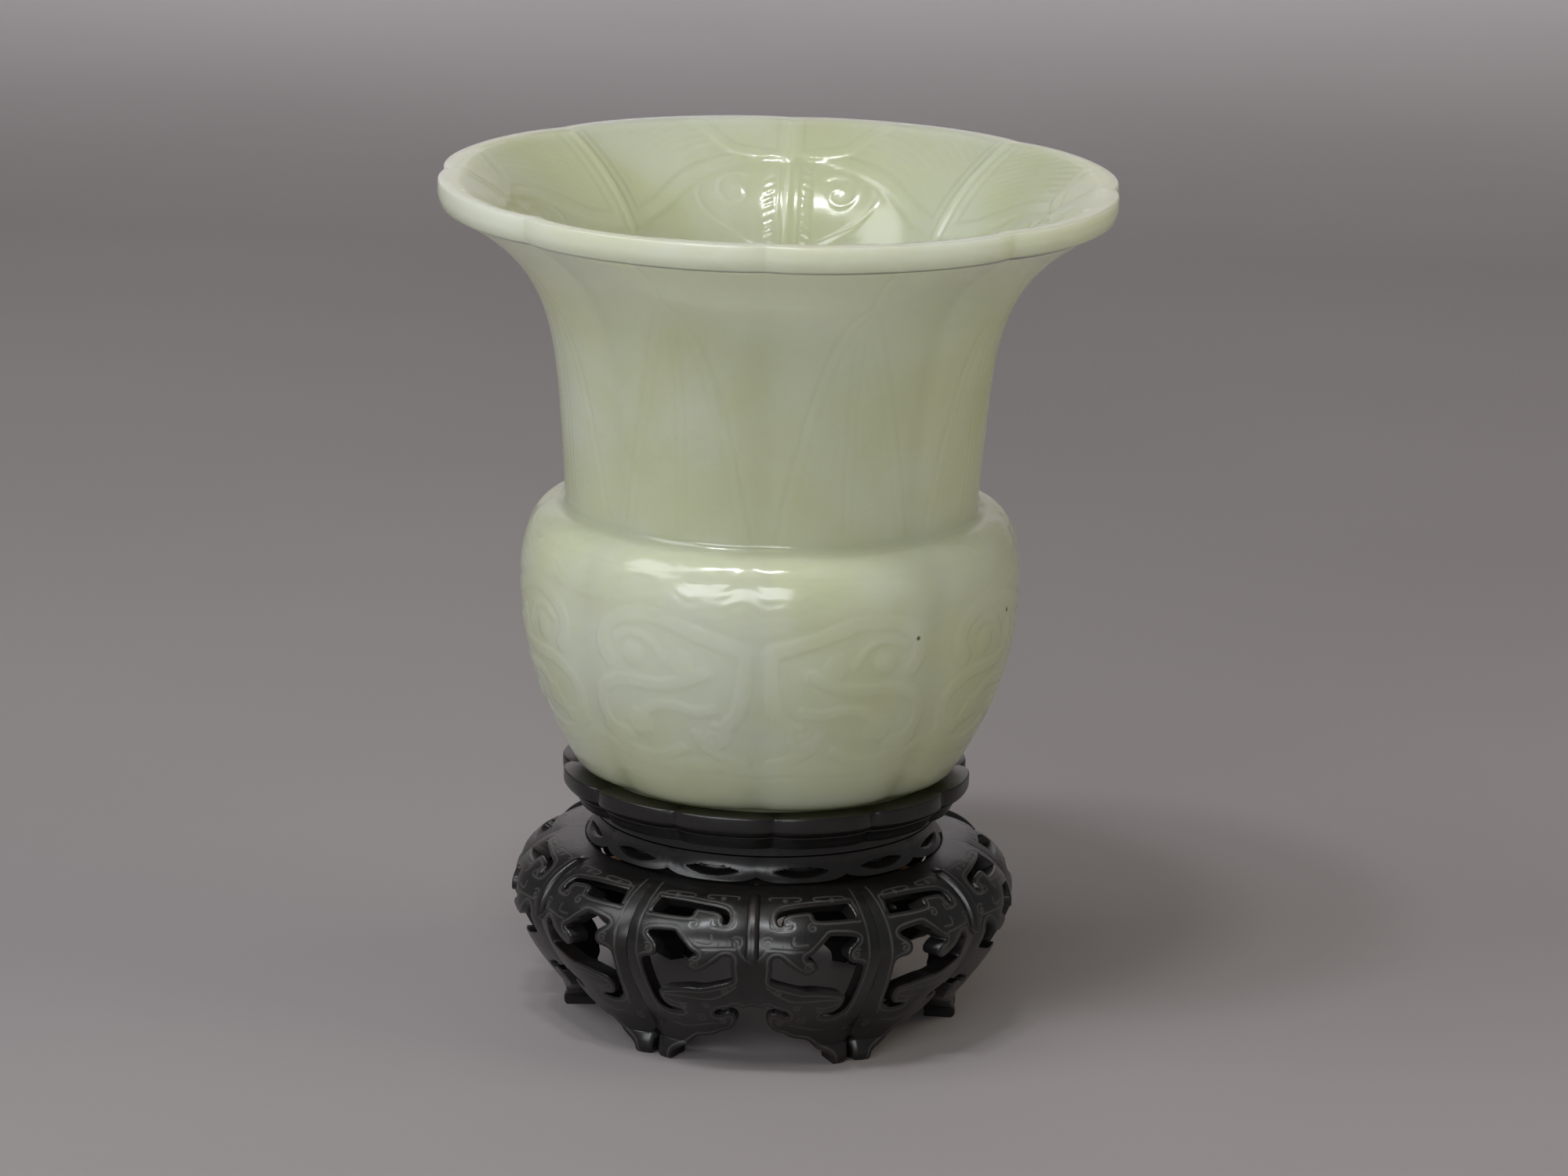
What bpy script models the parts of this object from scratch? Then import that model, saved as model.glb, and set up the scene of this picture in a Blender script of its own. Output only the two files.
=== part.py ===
"""Lobed jade vase on a carved openwork stand.

Units are metres, +Z is up, the table is z = 0 and the front of the stand faces -Y.
"""

import math

import bmesh
import bpy
from mathutils import Matrix, Vector
from mathutils.geometry import tessellate_polygon

MM = 0.001

# Clearance left between neighbouring pieces
GAP = 0.3 * MM

# Stand, from the table up
DRUM_HEIGHT = 35.0 * MM
DRUM_RADIUS = 49.0 * MM
DRUM_TOP_RADIUS = 34.5 * MM
ANKLE_RADIUS = 36.3 * MM
FOOT_FLARE = 2.4 * MM
TOE_CHAMFER = 0.6 * MM
PANEL_WALL = 4.2 * MM
FLANGE_LAND = 3.0 * MM
FLANGE_THICKNESS = 3.0 * MM
DRUM_GROOVE = 1.5 * MM
KEEL_HEIGHT = 1.1 * MM
SKIRT_HEIGHT = 4.6 * MM
SKIRT_FLARE = 1.7 * MM
EYELET_DEPTH = 2.4 * MM
WAIST_HEIGHT = 1.9 * MM
WAIST_LEDGE = 0.5 * MM
RING_BORE = 20.0 * MM
SEAT_THICKNESS = 2.8 * MM
COLLAR_HEIGHT = 6.9 * MM
COLLAR_LIP = 5.7 * MM
COLLAR_SLOPE = 1.7 * MM
COLLAR_STEP = 1.5 * MM
COLLAR_SCALLOP = 1.1 * MM
COLLAR_TURN = 5.0

# Pegs and dowels
STACK_PEG_RADIUS = 1.4 * MM
STACK_PEG_RING = 26.0 * MM
STACK_PEG_BITE = 1.0 * MM
CROWN_PEG_RADIUS = 0.6 * MM
CROWN_PEG_REACH = 4.0 * MM
DOWEL_RADIUS = 0.55 * MM
DOWEL_REACH = 2.2 * MM

# Vase, heights measured from the underside of its foot
VASE_HEIGHT = 118.0 * MM
VASE_FOOT_RADIUS = 31.4 * MM
FOOT_PLAY = 0.8 * MM
HEM_CLEARANCE = 1.0 * MM
HEM_RADIUS = 38.2 * MM
HEM_ROUND = 3.0 * MM
BODY_RADIUS = 48.1 * MM
EQUATOR_HEIGHT = 41.0 * MM
SHOULDER_HEIGHT = 55.2 * MM
NECK_RADIUS = 39.6 * MM
NECK_TAPER = 4.3 * MM
RIM_RADIUS = 64.6 * MM
LIP_HEIGHT = 4.4 * MM
LIP_WIDTH = 2.4 * MM
VASE_WALL = 4.4 * MM
VASE_FLOOR = 8.0 * MM
FLOOR_ROUND = 2.4 * MM
FOOT_RECESS = 2.4 * MM
FOOT_CHAMFER = 0.6 * MM
VASE_GROOVE = 0.9 * MM
RIM_GROOVE = 1.5 * MM

# Counts
VASE_LOBES = 8
PANELS = 6
SCALLOPS = 12
STACK_PEGS = 4

# Levels that follow from the sizes above
SKIRT_BOTTOM = DRUM_HEIGHT + GAP
SKIRT_TOP = SKIRT_BOTTOM + SKIRT_HEIGHT
WAIST_BOTTOM = SKIRT_TOP + GAP
WAIST_TOP = WAIST_BOTTOM + WAIST_HEIGHT
COLLAR_BOTTOM = WAIST_TOP + GAP
COLLAR_TOP = COLLAR_BOTTOM + COLLAR_HEIGHT
SEAT_TOP = COLLAR_BOTTOM + SEAT_THICKNESS
VASE_BASE = SEAT_TOP + GAP
UNDERSIDE_HEIGHT = COLLAR_TOP - VASE_BASE + HEM_CLEARANCE
HEM_HEIGHT = UNDERSIDE_HEIGHT + HEM_ROUND
COLLAR_BORE = VASE_FOOT_RADIUS + FOOT_PLAY
COLLAR_MOUTH = COLLAR_BORE + COLLAR_SLOPE
COLLAR_RADIUS = COLLAR_MOUTH + COLLAR_LIP
WAIST_RADIUS = COLLAR_BORE + WAIST_LEDGE
FLANGE_RADIUS = DRUM_TOP_RADIUS - FLANGE_LAND
FLANGE_BOTTOM = DRUM_HEIGHT - FLANGE_THICKNESS
CROWN_RADIUS = FLANGE_RADIUS - GAP
DRUM_EQUATOR = 0.686 * DRUM_HEIGHT
ANKLE_HEIGHT = 0.115 * DRUM_HEIGHT
KEEL_FOOT = 0.666 * DRUM_HEIGHT

# Openings of one half panel, as degrees from its centre line and percent of the drum's height.
# Each half is one archaic dragon in profile, seen as what is left between the openings.
HORN_SLOT = [(25, 89.4), (22, 94.6), (13.5, 95), (6.4, 93.6), (5.4, 87.9), (6.9, 87.4), (7.8, 91.5),
             (13.2, 92.8), (14.6, 89.8)]
JAW_WINDOW = [(24.5, 80.1), (18, 83.2), (14.5, 73.3), (12.3, 70.7), (14.6, 69), (15, 64.5), (12.6, 60.8),
              (10, 63.4), (5.5, 70.2), (4.6, 63.4), (4.6, 55.6), (9, 51), (12.7, 46.8), (13.5, 49.4),
              (22, 47.8), (23.3, 44.3), (22.4, 39.5), (19.6, 32.4), (20.6, 30.2), (23.6, 33.8),
              (25.4, 39.5), (26.3, 56.2), (26.5, 64), (22.7, 66.6), (22, 71.8), (24.5, 76.4)]
TAIL_HOOK = [(9.4, 34.3), (8.3, 36.9), (4.6, 39.7), (4.6, 30.2), (5.9, 33.8), (8.6, 32.7)]
FOOT_ARCH = [(24, -4), (23.4, 5.2), (16.5, 11), (14.5, 12.9), (9.5, 15.6), (4.7, 20.3), (2.6, 25.5),
             (1.3, 30.7), (0, 32.8)]
PANEL_COLUMNS = [2.2, 9, 21, 27.5]


def groove(angle, lobes):
    """Return 1 at a groove between two lobes and 0 on the crown of a lobe."""
    return (1.0 - abs(math.sin(0.5 * lobes * angle))) ** 1.8


def polar(radius, angle, height):
    """Return the point at an angle turned from the front, which is -Y, towards +X."""
    return Vector((radius * math.sin(angle), -radius * math.cos(angle), height))


def make_material(name, colour, roughness):
    """Return a Principled material of one colour."""
    material = bpy.data.materials.new(name)
    material.use_nodes = True
    shader = material.node_tree.nodes["Principled BSDF"]
    shader.inputs["Base Color"].default_value = (*colour, 1.0)
    shader.inputs["Roughness"].default_value = roughness
    shader.inputs["Metallic"].default_value = 0.0
    return material


def make_object(name, form, material=None, smooth_angle=40.0):
    """Turn a finished bmesh into a named object with outward normals."""
    bmesh.ops.recalc_face_normals(form, faces=form.faces)
    mesh = bpy.data.meshes.new(name)
    form.to_mesh(mesh)
    form.free()
    mesh.shade_smooth()
    mesh.set_sharp_from_angle(angle=math.radians(smooth_angle))
    thing = bpy.data.objects.new(name, mesh)
    bpy.context.scene.collection.objects.link(thing)
    if material is not None:
        mesh.materials.append(material)
    return thing


def sweep(section, angles, lobes, closed):
    """Carry a closed section of (radius, height, groove depth) round the axis."""
    form = bmesh.new()
    loops = []
    for angle in angles:
        cut = groove(angle, lobes)
        loops.append([form.verts.new(polar(r - depth * cut, angle, z)) for r, z, depth in section])
    join_loops(form, loops, closed)
    return form


def join_loops(form, loops, closed):
    """Skin neighbouring loops, and cap both ends unless the row of loops is closed."""
    count = len(loops[0])
    pairs = list(zip(loops, loops[1:]))
    if closed:
        pairs.append((loops[-1], loops[0]))
    else:
        form.faces.new(loops[0])
        form.faces.new(reversed(loops[-1]))
    for first, second in pairs:
        for i in range(count):
            j = (i + 1) % count
            form.faces.new((first[i], second[i], second[j], first[j]))


def full_turn(steps):
    """Return equal steps of a whole turn."""
    return [math.tau * i / steps for i in range(steps)]


def turned_ring(name, section, lobes, steps, material):
    """Make a ring whose section clears the axis."""
    return make_object(name, sweep(section, full_turn(steps), lobes, True), material)


def prism(outline, inner, outer):
    """Make a cutter from an outline of (degrees, percent of drum height) between two radii."""
    form = bmesh.new()
    walls = []
    for radius in (inner, outer):
        walls.append([form.verts.new(polar(radius, math.radians(a), p * 0.01 * DRUM_HEIGHT)) for a, p in outline])
    for corners in tessellate_polygon([[Vector((a, p, 0.0)) for a, p in outline]]):
        for wall in walls:
            form.faces.new([wall[i] for i in corners])
    for i in range(len(outline)):
        j = (i + 1) % len(outline)
        form.faces.new((walls[0][i], walls[0][j], walls[1][j]))
        form.faces.new((walls[0][i], walls[1][j], walls[1][i]))
    return make_object("cutter", form)


def rod_form(start, end, radius, sides=8):
    """Make a straight round rod between two points."""
    form = bmesh.new()
    line = end - start
    turn = line.to_track_quat("Z", "Y").to_matrix().to_4x4()
    place = Matrix.Translation((start + end) * 0.5) @ turn
    bmesh.ops.create_cone(form, cap_ends=True, segments=sides, radius1=radius, radius2=radius,
                          depth=line.length, matrix=place)
    return form


def rod_row(name, rods, radius, material):
    """Make a row of rods, each given by its two ends."""
    for i, (start, end) in enumerate(rods):
        make_object(f"{name}_{i + 1}", rod_form(start, end, radius), material)


def rod_cutters(rods, radius):
    """Make cutters for the holes of rods, wider than the rods by the gap."""
    return [make_object("cutter", rod_form(a, b, radius + GAP)) for a, b in rods]


def longer(rod):
    """Return a rod lengthened by the gap at both ends."""
    start, end = rod
    step = (end - start).normalized() * GAP
    return start - step, end + step


def cut_away(target, cutters):
    """Subtract the cutters, keep the result as the target's own mesh and drop the cutters."""
    for cutter in cutters:
        cutter.hide_render = True
        cutter.display_type = "WIRE"
        change = target.modifiers.new("cut", "BOOLEAN")
        change.operation = "DIFFERENCE"
        change.solver = "EXACT"
        change.object = cutter
    graph = bpy.context.evaluated_depsgraph_get()
    result = bpy.data.meshes.new_from_object(target.evaluated_get(graph))
    target.modifiers.clear()
    target.data = result
    result.name = target.name
    for cutter in cutters:
        bpy.data.objects.remove(cutter)


def ease(count):
    """Return fractions of a quarter turn, as (sine, cosine) pairs from 0 to 1."""
    return [(math.sin(0.5 * math.pi * i / count), math.cos(0.5 * math.pi * i / count)) for i in range(count + 1)]


def neck_outside(t):
    """Return the neck's outer radius at a fraction of the way from shoulder to lip."""
    flare = RIM_RADIUS - NECK_RADIUS - NECK_TAPER
    return NECK_RADIUS + NECK_TAPER * t + flare * t ** 5.5


def neck_inside(t):
    """Return the neck's inner radius at a fraction of the way from shoulder to rim."""
    start = NECK_RADIUS - VASE_WALL
    taper = 0.75 * NECK_TAPER
    return start + taper * t + (RIM_RADIUS - LIP_WIDTH - start - taper) * t ** 5.2


def rim_depth(t):
    """Return the groove depth along the neck, deepest at the rim."""
    return VASE_GROOVE + (RIM_GROOVE - VASE_GROOVE) * t * t


def body_radius(height):
    """Return the outer radius of the body between hem and shoulder."""
    if height <= EQUATOR_HEIGHT:
        t = (EQUATOR_HEIGHT - height) / (EQUATOR_HEIGHT - HEM_HEIGHT)
        return BODY_RADIUS - (BODY_RADIUS - HEM_RADIUS) * t * t
    t = (height - EQUATOR_HEIGHT) / (SHOULDER_HEIGHT - EQUATOR_HEIGHT)
    return NECK_RADIUS + (BODY_RADIUS - NECK_RADIUS) * max(0.0, 1.0 - t ** 2.5) ** 0.4


def vase_outside():
    """Return the outer profile from the foot to the lip's top edge."""
    foot = VASE_FOOT_RADIUS
    profile = [(foot - FOOT_CHAMFER, 0.0, 0.0), (foot, FOOT_CHAMFER, 0.0), (foot, 0.85 * UNDERSIDE_HEIGHT, 0.0)]
    for across, down in ease(3)[:-1]:
        profile.append((HEM_RADIUS - HEM_ROUND * (1.0 - across), HEM_HEIGHT - HEM_ROUND * down, VASE_GROOVE))
    lower = 6
    for i in range(lower):
        height = HEM_HEIGHT + (EQUATOR_HEIGHT - HEM_HEIGHT) * i / lower
        profile.append((body_radius(height), height, VASE_GROOVE))
    for rise, _ in ease(6)[:-1]:
        height = EQUATOR_HEIGHT + (SHOULDER_HEIGHT - EQUATOR_HEIGHT) * rise
        profile.append((body_radius(height), height, VASE_GROOVE))
    lip = VASE_HEIGHT - LIP_HEIGHT
    for t in (0.0, 0.2, 0.4, 0.55, 0.68, 0.78, 0.86, 0.92, 0.97):
        profile.append((neck_outside(t), SHOULDER_HEIGHT + (lip - SHOULDER_HEIGHT) * t, rim_depth(t)))
    profile.append((RIM_RADIUS, lip + 0.1 * LIP_HEIGHT, RIM_GROOVE))
    profile.append((RIM_RADIUS, VASE_HEIGHT - 0.3 * LIP_HEIGHT, RIM_GROOVE))
    profile.append((RIM_RADIUS - 0.4 * LIP_WIDTH, VASE_HEIGHT, RIM_GROOVE))
    return profile


def vase_inside():
    """Return the inner profile from the lip down to the edge of the floor."""
    profile = []
    for t in (1.0, 0.96, 0.91, 0.85, 0.77, 0.66, 0.5, 0.25, 0.0):
        profile.append((neck_inside(t), SHOULDER_HEIGHT + (VASE_HEIGHT - SHOULDER_HEIGHT) * t, rim_depth(t)))
    for height in (0.9 * SHOULDER_HEIGHT, EQUATOR_HEIGHT, 0.55 * EQUATOR_HEIGHT):
        profile.append((body_radius(height) - VASE_WALL, height, 0.0))
    profile.append((HEM_RADIUS - VASE_WALL, VASE_FLOOR + FLOOR_ROUND, 0.0))
    profile.append((HEM_RADIUS - VASE_WALL - 3.0 * FLOOR_ROUND, VASE_FLOOR, 0.0))
    return profile


def make_vase(material):
    """Make the hollow lobed vase with its recessed foot."""
    recess = 0.8 * VASE_FOOT_RADIUS
    section = [(recess, FOOT_RECESS, 0.0), (recess, 0.0, 0.0)] + vase_outside() + vase_inside()
    section = [(r, z + VASE_BASE, depth) for r, z, depth in section]
    form = bmesh.new()
    loops = []
    angles = full_turn(6 * VASE_LOBES)
    for r, z, depth in section:
        loops.append([form.verts.new(polar(r - depth * groove(a, VASE_LOBES), a, z)) for a in angles])
    join_loops(form, loops, False)
    return make_object("jade_vase", form, material)


def make_collar(material):
    """Make the scalloped collar round the vase's foot."""
    lower = COLLAR_RADIUS - 2.0 * COLLAR_STEP
    step = COLLAR_BOTTOM + 0.46 * COLLAR_HEIGHT
    section = [(COLLAR_BORE, COLLAR_BOTTOM, 0.0),
               (lower, COLLAR_BOTTOM, COLLAR_SCALLOP),
               (lower + 0.2 * COLLAR_STEP, COLLAR_BOTTOM + 0.2 * COLLAR_HEIGHT, COLLAR_SCALLOP),
               (lower + 0.9 * COLLAR_STEP, step, COLLAR_SCALLOP),
               (lower + 1.2 * COLLAR_STEP, step + 0.05 * COLLAR_HEIGHT, COLLAR_SCALLOP),
               (COLLAR_RADIUS, COLLAR_TOP - 0.28 * COLLAR_HEIGHT, COLLAR_SCALLOP),
               (COLLAR_RADIUS, COLLAR_TOP - 0.12 * COLLAR_HEIGHT, COLLAR_SCALLOP),
               (COLLAR_RADIUS - 0.3 * COLLAR_LIP, COLLAR_TOP, 0.6 * COLLAR_SCALLOP),
               (COLLAR_MOUTH, COLLAR_TOP, 0.0),
               (COLLAR_BORE, COLLAR_TOP - 0.6 * COLLAR_HEIGHT, 0.0)]
    collar = turned_ring("collar_ring", section, SCALLOPS, 5 * SCALLOPS, material)
    collar.data.transform(Matrix.Rotation(math.radians(COLLAR_TURN), 4, "Z"))
    return collar


def make_skirt(material, peg_holes):
    """Make the ring of hanging petals with an eyelet in each petal."""
    top = WAIST_RADIUS
    hem = WAIST_RADIUS + SKIRT_FLARE
    section = [(RING_BORE, SKIRT_BOTTOM, 0.0),
               (hem - 0.3 * SKIRT_FLARE, SKIRT_BOTTOM, 1.2 * COLLAR_SCALLOP),
               (hem, SKIRT_BOTTOM + 0.2 * SKIRT_HEIGHT, 1.2 * COLLAR_SCALLOP),
               (top + 0.4 * SKIRT_FLARE, SKIRT_BOTTOM + 0.6 * SKIRT_HEIGHT, 0.8 * COLLAR_SCALLOP),
               (top, SKIRT_TOP, 0.0),
               (RING_BORE, SKIRT_TOP, 0.0)]
    skirt = turned_ring("petal_skirt", section, SCALLOPS, 5 * SCALLOPS, material)
    middle = 100.0 * (SKIRT_BOTTOM + 0.45 * SKIRT_HEIGHT) / DRUM_HEIGHT
    half = 20.0 * SKIRT_HEIGHT / DRUM_HEIGHT
    pitch = 360.0 / SCALLOPS
    reach = 0.25 * pitch
    flank = 0.12 * pitch
    cutters = []
    for i in range(SCALLOPS):
        centre = pitch * (i + 0.5)
        almond = [(centre - reach, middle), (centre - flank, middle - half), (centre + flank, middle - half),
                  (centre + reach, middle), (centre + flank, middle + half), (centre - flank, middle + half)]
        cutters.append(prism(almond, hem - EYELET_DEPTH, hem + EYELET_DEPTH))
    cut_away(skirt, cutters + rod_cutters(peg_holes, STACK_PEG_RADIUS))
    return skirt


def plain_ring(name, bore, radius, bottom, top, material):
    """Make a ring of rectangular section."""
    section = [(bore, bottom, 0.0), (radius, bottom, 0.0), (radius, top, 0.0), (bore, top, 0.0)]
    return turned_ring(name, section, SCALLOPS, 5 * SCALLOPS, material)


def make_seat(material, peg_holes):
    """Make the board that carries the vase's foot."""
    radius = COLLAR_BORE - GAP
    seat = make_object("seat_board", rod_form(Vector((0, 0, COLLAR_BOTTOM)), Vector((0, 0, SEAT_TOP)), radius, 60),
                       material)
    cut_away(seat, rod_cutters(peg_holes, STACK_PEG_RADIUS))
    return seat


def drum_radius(height):
    """Return the drum's outer radius on the crown of a lobe."""
    if height >= DRUM_EQUATOR:
        t = (height - DRUM_EQUATOR) / (DRUM_HEIGHT - DRUM_EQUATOR)
        return DRUM_TOP_RADIUS + (DRUM_RADIUS - DRUM_TOP_RADIUS) * math.sqrt(max(0.0, 1.0 - t * t))
    t = (DRUM_EQUATOR - height) / (DRUM_EQUATOR - ANKLE_HEIGHT)
    return DRUM_RADIUS - (DRUM_RADIUS - ANKLE_RADIUS) * t ** 1.4


def drum_bore(height):
    """Return the drum's inner radius."""
    if height >= DRUM_EQUATOR:
        t = (height - DRUM_EQUATOR) / (FLANGE_BOTTOM - DRUM_EQUATOR)
        return FLANGE_RADIUS + (DRUM_RADIUS - PANEL_WALL - FLANGE_RADIUS) * math.sqrt(max(0.0, 1.0 - t * t))
    return drum_radius(max(height, ANKLE_HEIGHT)) - PANEL_WALL


def panel_section():
    """Return the section of a panel: outer face, top flange and inner face."""
    toe = ANKLE_RADIUS + FOOT_FLARE
    section = [(toe - TOE_CHAMFER, 0.0, 0.0), (toe, TOE_CHAMFER, 0.0), (ANKLE_RADIUS, ANKLE_HEIGHT, DRUM_GROOVE)]
    for i in range(1, 4):
        height = ANKLE_HEIGHT + (DRUM_EQUATOR - ANKLE_HEIGHT) * i / 4
        section.append((drum_radius(height), height, DRUM_GROOVE))
    arc = ease(4)
    for rise, _ in arc[:-1]:
        height = DRUM_EQUATOR + (DRUM_HEIGHT - DRUM_EQUATOR) * rise
        section.append((drum_radius(height), height, DRUM_GROOVE))
    section.append((DRUM_TOP_RADIUS, DRUM_HEIGHT, 0.0))
    section.append((FLANGE_RADIUS, DRUM_HEIGHT, 0.0))
    for rise, _ in reversed(arc[::2]):
        height = DRUM_EQUATOR + (FLANGE_BOTTOM - DRUM_EQUATOR) * rise
        section.append((drum_bore(height), height, 0.0))
    for part in (0.5, 0.0):
        height = ANKLE_HEIGHT + (DRUM_EQUATOR - ANKLE_HEIGHT) * part
        section.append((drum_bore(height), height, 0.0))
    section.append((drum_bore(0.0), 0.0, 0.0))
    return section


def mirrored(outline):
    """Return an outline of one half panel carried over to the other half."""
    return [(-a, p) for a, p in reversed(outline)]


def make_panel(material, holes):
    """Make one openwork panel with its keel and two feet, centred on the front."""
    edge = 180.0 / PANELS - math.degrees(0.5 * GAP / FLANGE_RADIUS)
    half = [math.radians(a) for a in PANEL_COLUMNS + [edge]]
    angles = [-a for a in reversed(half)] + [0.0] + half
    section = panel_section()
    form = bmesh.new()
    loops = []
    for angle in angles:
        cut = groove(angle, 2 * PANELS)
        keel = KEEL_HEIGHT if angle == 0.0 else 0.0
        loop = []
        for r, z, depth in section:
            raised = keel if depth > 0.0 and z > KEEL_FOOT else 0.0
            loop.append(form.verts.new(polar(r - depth * cut + raised, angle, z)))
        loops.append(loop)
    join_loops(form, loops, False)
    panel = make_object("openwork_panel_1", form, material)
    inner = 0.5 * DRUM_TOP_RADIUS
    outer = 1.3 * DRUM_RADIUS
    cutters = [prism(FOOT_ARCH + mirrored(FOOT_ARCH)[1:], inner, outer)]
    for outline in (HORN_SLOT, JAW_WINDOW, TAIL_HOOK):
        cutters.append(prism(outline, inner, outer))
        cutters.append(prism(mirrored(outline), inner, outer))
    cut_away(panel, cutters + holes)
    return panel


def dowel_places():
    """Return the dowels of the joint on the front panel's +X side."""
    turn = math.pi / PANELS
    out = polar(1.0, turn, 0.0)
    along = Vector((math.cos(turn), math.sin(turn), 0.0)) * DOWEL_REACH
    places = []
    for part in (0.42, 0.8):
        height = part * DRUM_HEIGHT
        middle = out * (0.5 * (drum_radius(height) - DRUM_GROOVE + drum_bore(height)))
        middle.z = height
        places.append((middle - along, middle + along))
    return places


def turned(rods, count):
    """Repeat rods round the axis."""
    turns = [Matrix.Rotation(math.tau * i / count, 3, "Z") for i in range(count)]
    return [(turn @ a, turn @ b) for turn in turns for a, b in rods]


def main():
    """Build every piece."""
    for thing in list(bpy.data.objects):
        bpy.data.objects.remove(thing, do_unlink=True)
    jade = make_material("jade", (0.36, 0.38, 0.28), 0.28)
    wood = make_material("dark_wood", (0.022, 0.016, 0.013), 0.42)
    bamboo = make_material("peg_wood", (0.16, 0.09, 0.045), 0.6)

    make_vase(jade)
    make_collar(wood)

    low = DRUM_HEIGHT - 0.6 * FLANGE_THICKNESS
    high = COLLAR_BOTTOM + STACK_PEG_BITE
    spot = polar(STACK_PEG_RING, math.pi / STACK_PEGS, 0.0)
    stack = turned([(spot + Vector((0, 0, low)), spot + Vector((0, 0, high)))], STACK_PEGS)
    stack_holes = [longer(rod) for rod in stack]
    make_seat(wood, stack_holes)
    make_skirt(wood, stack_holes)
    waist = plain_ring("waist_ring", RING_BORE, WAIST_RADIUS, WAIST_BOTTOM, WAIST_TOP, wood)
    cut_away(waist, rod_cutters(stack_holes, STACK_PEG_RADIUS))
    crown = plain_ring("crown_ring", RING_BORE, CROWN_RADIUS, FLANGE_BOTTOM, DRUM_HEIGHT, wood)
    level = DRUM_HEIGHT - 0.5 * FLANGE_THICKNESS
    pin = (polar(CROWN_RADIUS - CROWN_PEG_REACH, 0.0, level), polar(FLANGE_RADIUS + CROWN_PEG_REACH, 0.0, level))
    pins = turned([pin], PANELS)
    pin_holes = [longer(rod) for rod in pins]
    cut_away(crown, rod_cutters(stack_holes, STACK_PEG_RADIUS) + rod_cutters(pin_holes, CROWN_PEG_RADIUS))

    joint = dowel_places()
    dowels = turned(joint, PANELS)
    back = Matrix.Rotation(-math.tau / PANELS, 3, "Z")
    near = [longer(rod) for rod in joint + [(back @ a, back @ b) for a, b in joint]]
    holes = rod_cutters(near, DOWEL_RADIUS) + rod_cutters([longer(pin)], CROWN_PEG_RADIUS)
    panel = make_panel(wood, holes)
    for i in range(1, PANELS):
        twin = panel.copy()
        twin.data = panel.data.copy()
        twin.name = f"openwork_panel_{i + 1}"
        twin.data.transform(Matrix.Rotation(math.tau * i / PANELS, 4, "Z"))
        bpy.context.scene.collection.objects.link(twin)

    rod_row("joint_dowel", dowels, DOWEL_RADIUS, bamboo)
    rod_row("crown_peg", pins, CROWN_PEG_RADIUS, bamboo)
    rod_row("stack_peg", stack, STACK_PEG_RADIUS, bamboo)


main()
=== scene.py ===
"""Carved finish of a lobed jade vase and its openwork wooden stand, laid out as an add-on."""

import math

import bpy
import numpy as np
from bpy.props import FloatProperty, FloatVectorProperty, IntProperty, PointerProperty
from mathutils import Matrix, Vector


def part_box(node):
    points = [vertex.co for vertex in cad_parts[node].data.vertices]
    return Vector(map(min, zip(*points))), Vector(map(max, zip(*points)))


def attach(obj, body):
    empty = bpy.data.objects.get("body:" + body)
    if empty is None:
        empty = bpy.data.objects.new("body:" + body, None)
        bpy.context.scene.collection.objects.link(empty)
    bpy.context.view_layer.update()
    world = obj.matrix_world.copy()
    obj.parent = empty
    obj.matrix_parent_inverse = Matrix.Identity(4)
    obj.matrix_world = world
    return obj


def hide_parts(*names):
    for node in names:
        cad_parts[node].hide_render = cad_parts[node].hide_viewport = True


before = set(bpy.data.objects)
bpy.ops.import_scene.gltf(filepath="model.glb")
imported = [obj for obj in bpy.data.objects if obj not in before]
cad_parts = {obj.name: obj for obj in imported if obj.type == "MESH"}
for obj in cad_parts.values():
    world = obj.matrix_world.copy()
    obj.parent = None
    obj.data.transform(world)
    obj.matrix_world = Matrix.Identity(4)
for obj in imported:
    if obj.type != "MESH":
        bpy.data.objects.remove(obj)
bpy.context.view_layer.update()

bl_info = {
    "name": "Jade vase and carved stand",
    "version": (1, 0, 0),
    "blender": (4, 5, 0),
    "location": "3D View > Sidebar > Jade vase",
    "description": "Carves the jade vase and its wooden stand around the packed frame",
    "category": "Add Mesh",
}

MM = 0.001
VASE_LOW, VASE_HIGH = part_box("jade_vase")
VASE_TALL = VASE_HIGH.z - VASE_LOW.z
COLLAR_LOW, COLLAR_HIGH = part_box("collar_ring")
SKIRT_LOW, SKIRT_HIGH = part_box("petal_skirt")
WAIST_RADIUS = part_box("waist_ring")[1].x
DRUM_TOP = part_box("openwork_panel_1")[1].z

VASE_LOBES = 8
PANELS = 6
SCALLOPS = 12
MOTIF_PITCH = 90.0
LEAF_PITCH = 45.0
PETAL_PITCH = 30.0

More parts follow.
